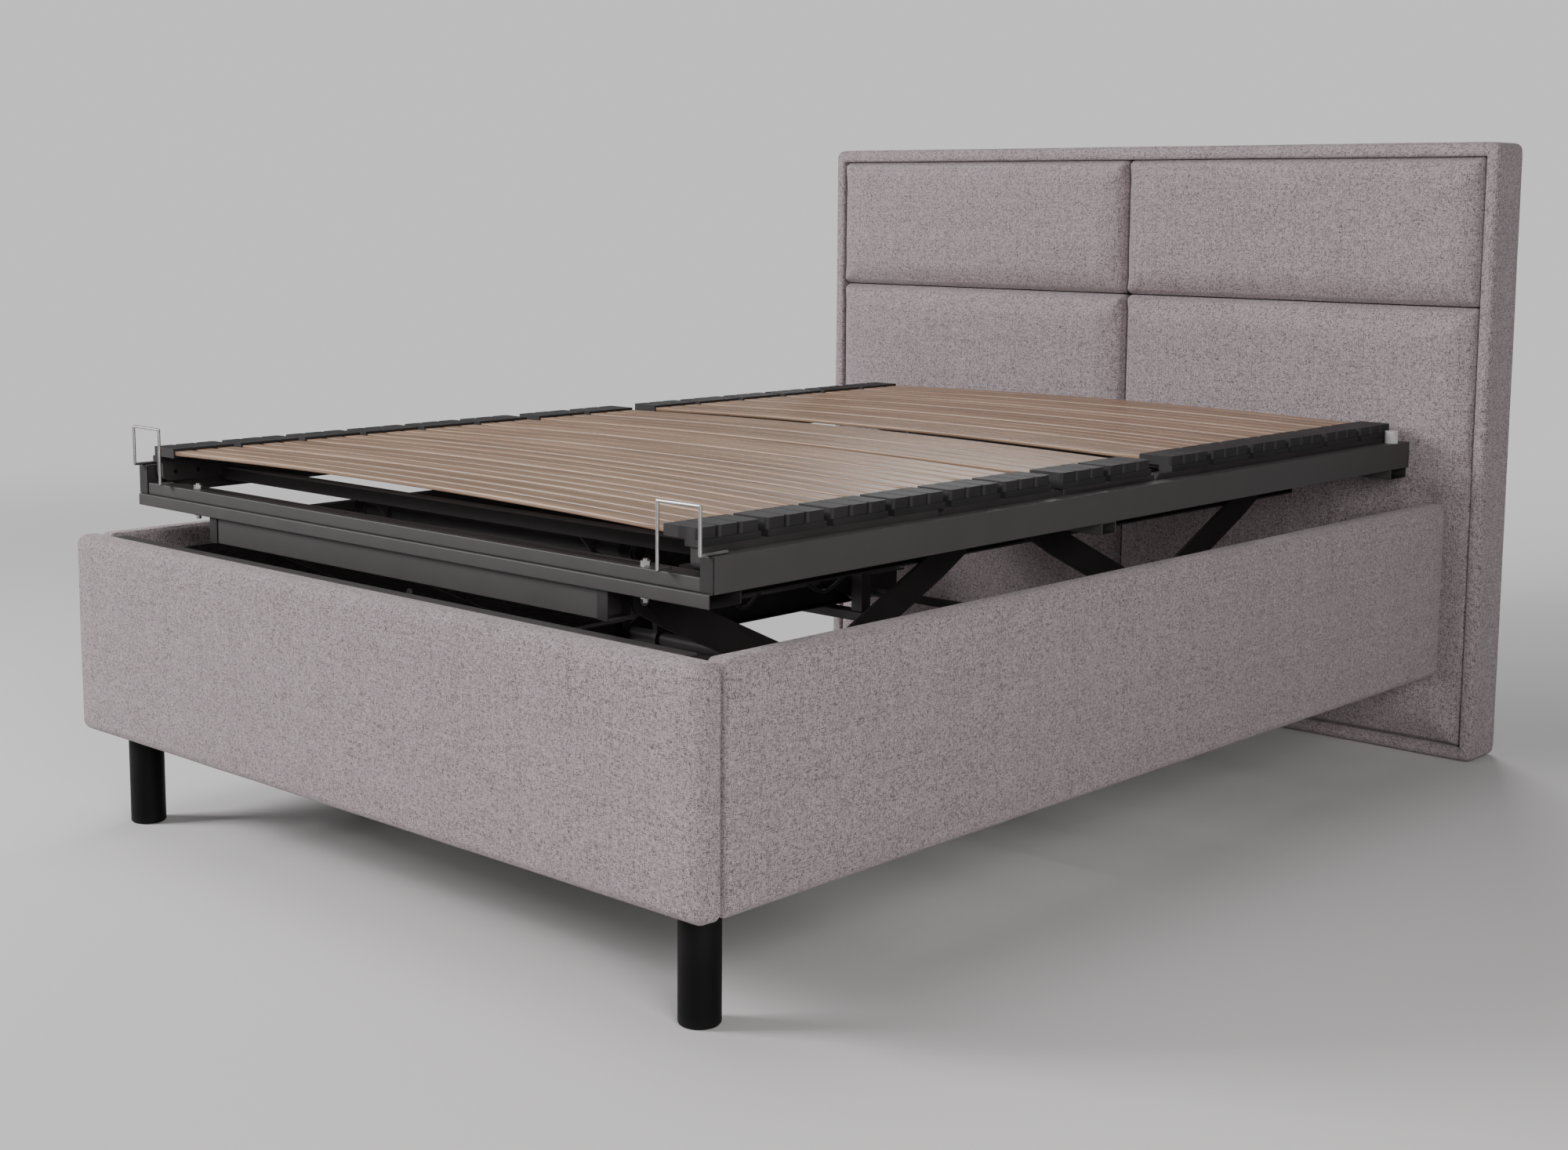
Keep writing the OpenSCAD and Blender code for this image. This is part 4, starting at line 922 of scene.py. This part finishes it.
back_staples()
panel_staples("staples_foot", "foot_padding", 1, 1)
panel_staples("staples_left", "side_padding_left", 0, 1)
panel_staples("staples_right", "side_padding_right", 0, -1)


# --- Floor and backdrop --------------------------------------------------------------------

FLOOR_R = 7.0
FADE_START, FADE_END = 1.9, 6.0
DOME_R = 9.0
PALE = (0.80, 0.79, 0.80)


def revolve(name, profile, material, sides=96):
    """A surface of (radius, height) rings round the Z axis, which isn't part of the bed."""
    points = [(r * math.cos(2 * math.pi * k / sides), r * math.sin(2 * math.pi * k / sides), z)
              for r, z in profile for k in range(sides)]
    faces = []
    for i in range(len(profile) - 1):
        for k in range(sides):
            j = (k + 1) % sides
            faces.append((i * sides + k, i * sides + j, (i + 1) * sides + j, (i + 1) * sides + k))
    made = add_mesh(name, points, faces, material)
    return made


def floor_material():
    """A pale floor that turns into the backdrop's own colour away from the bed."""
    g = Graph("floor")
    x, y, _ = g.separate(g.coordinates())
    radius = g.maths("SQRT", g.maths("ADD", g.maths("MULTIPLY", x, x), g.maths("MULTIPLY", y, y)))
    far = g.node("ShaderNodeMapRange", interpolation_type="SMOOTHSTEP")
    g.link(radius, far.inputs[0])
    far.inputs[1].default_value, far.inputs[2].default_value = FADE_START, FADE_END
    g.put(g.shader.inputs["Base Color"], (0.62, 0.61, 0.61, 1))
    g.shader.inputs["Roughness"].default_value = 0.8
    blend = g.node("ShaderNodeMixShader")
    g.link(far.outputs[0], blend.inputs[0])
    g.link(g.shader.outputs[0], blend.inputs[1])
    g.link(g.glow(PALE), blend.inputs[2])
    return g.surface(blend.outputs[0])


def backdrop_material():
    g = Graph("backdrop")
    return g.surface(g.glow(PALE))


revolve("floor", [(0.0, 0.0), (1.0, 0.0), (3.0, 0.0), (FLOOR_R, 0.0)], floor_material())

dome = []
for a in range(0, 91, 6):
    turn = math.radians(a)
    dome.append((FLOOR_R - 0.2 + DOME_R * math.sin(turn), -0.02 + DOME_R * (1 - math.cos(turn))))
for a in range(10, 91, 10):
    turn = math.radians(a)
    dome.append((max(0.0, (FLOOR_R - 0.2 + DOME_R) * math.cos(turn)), DOME_R + DOME_R * math.sin(turn)))
backdrop = revolve("backdrop", dome, backdrop_material())
backdrop.visible_diffuse = backdrop.visible_glossy = False
backdrop.visible_transmission = backdrop.visible_shadow = False
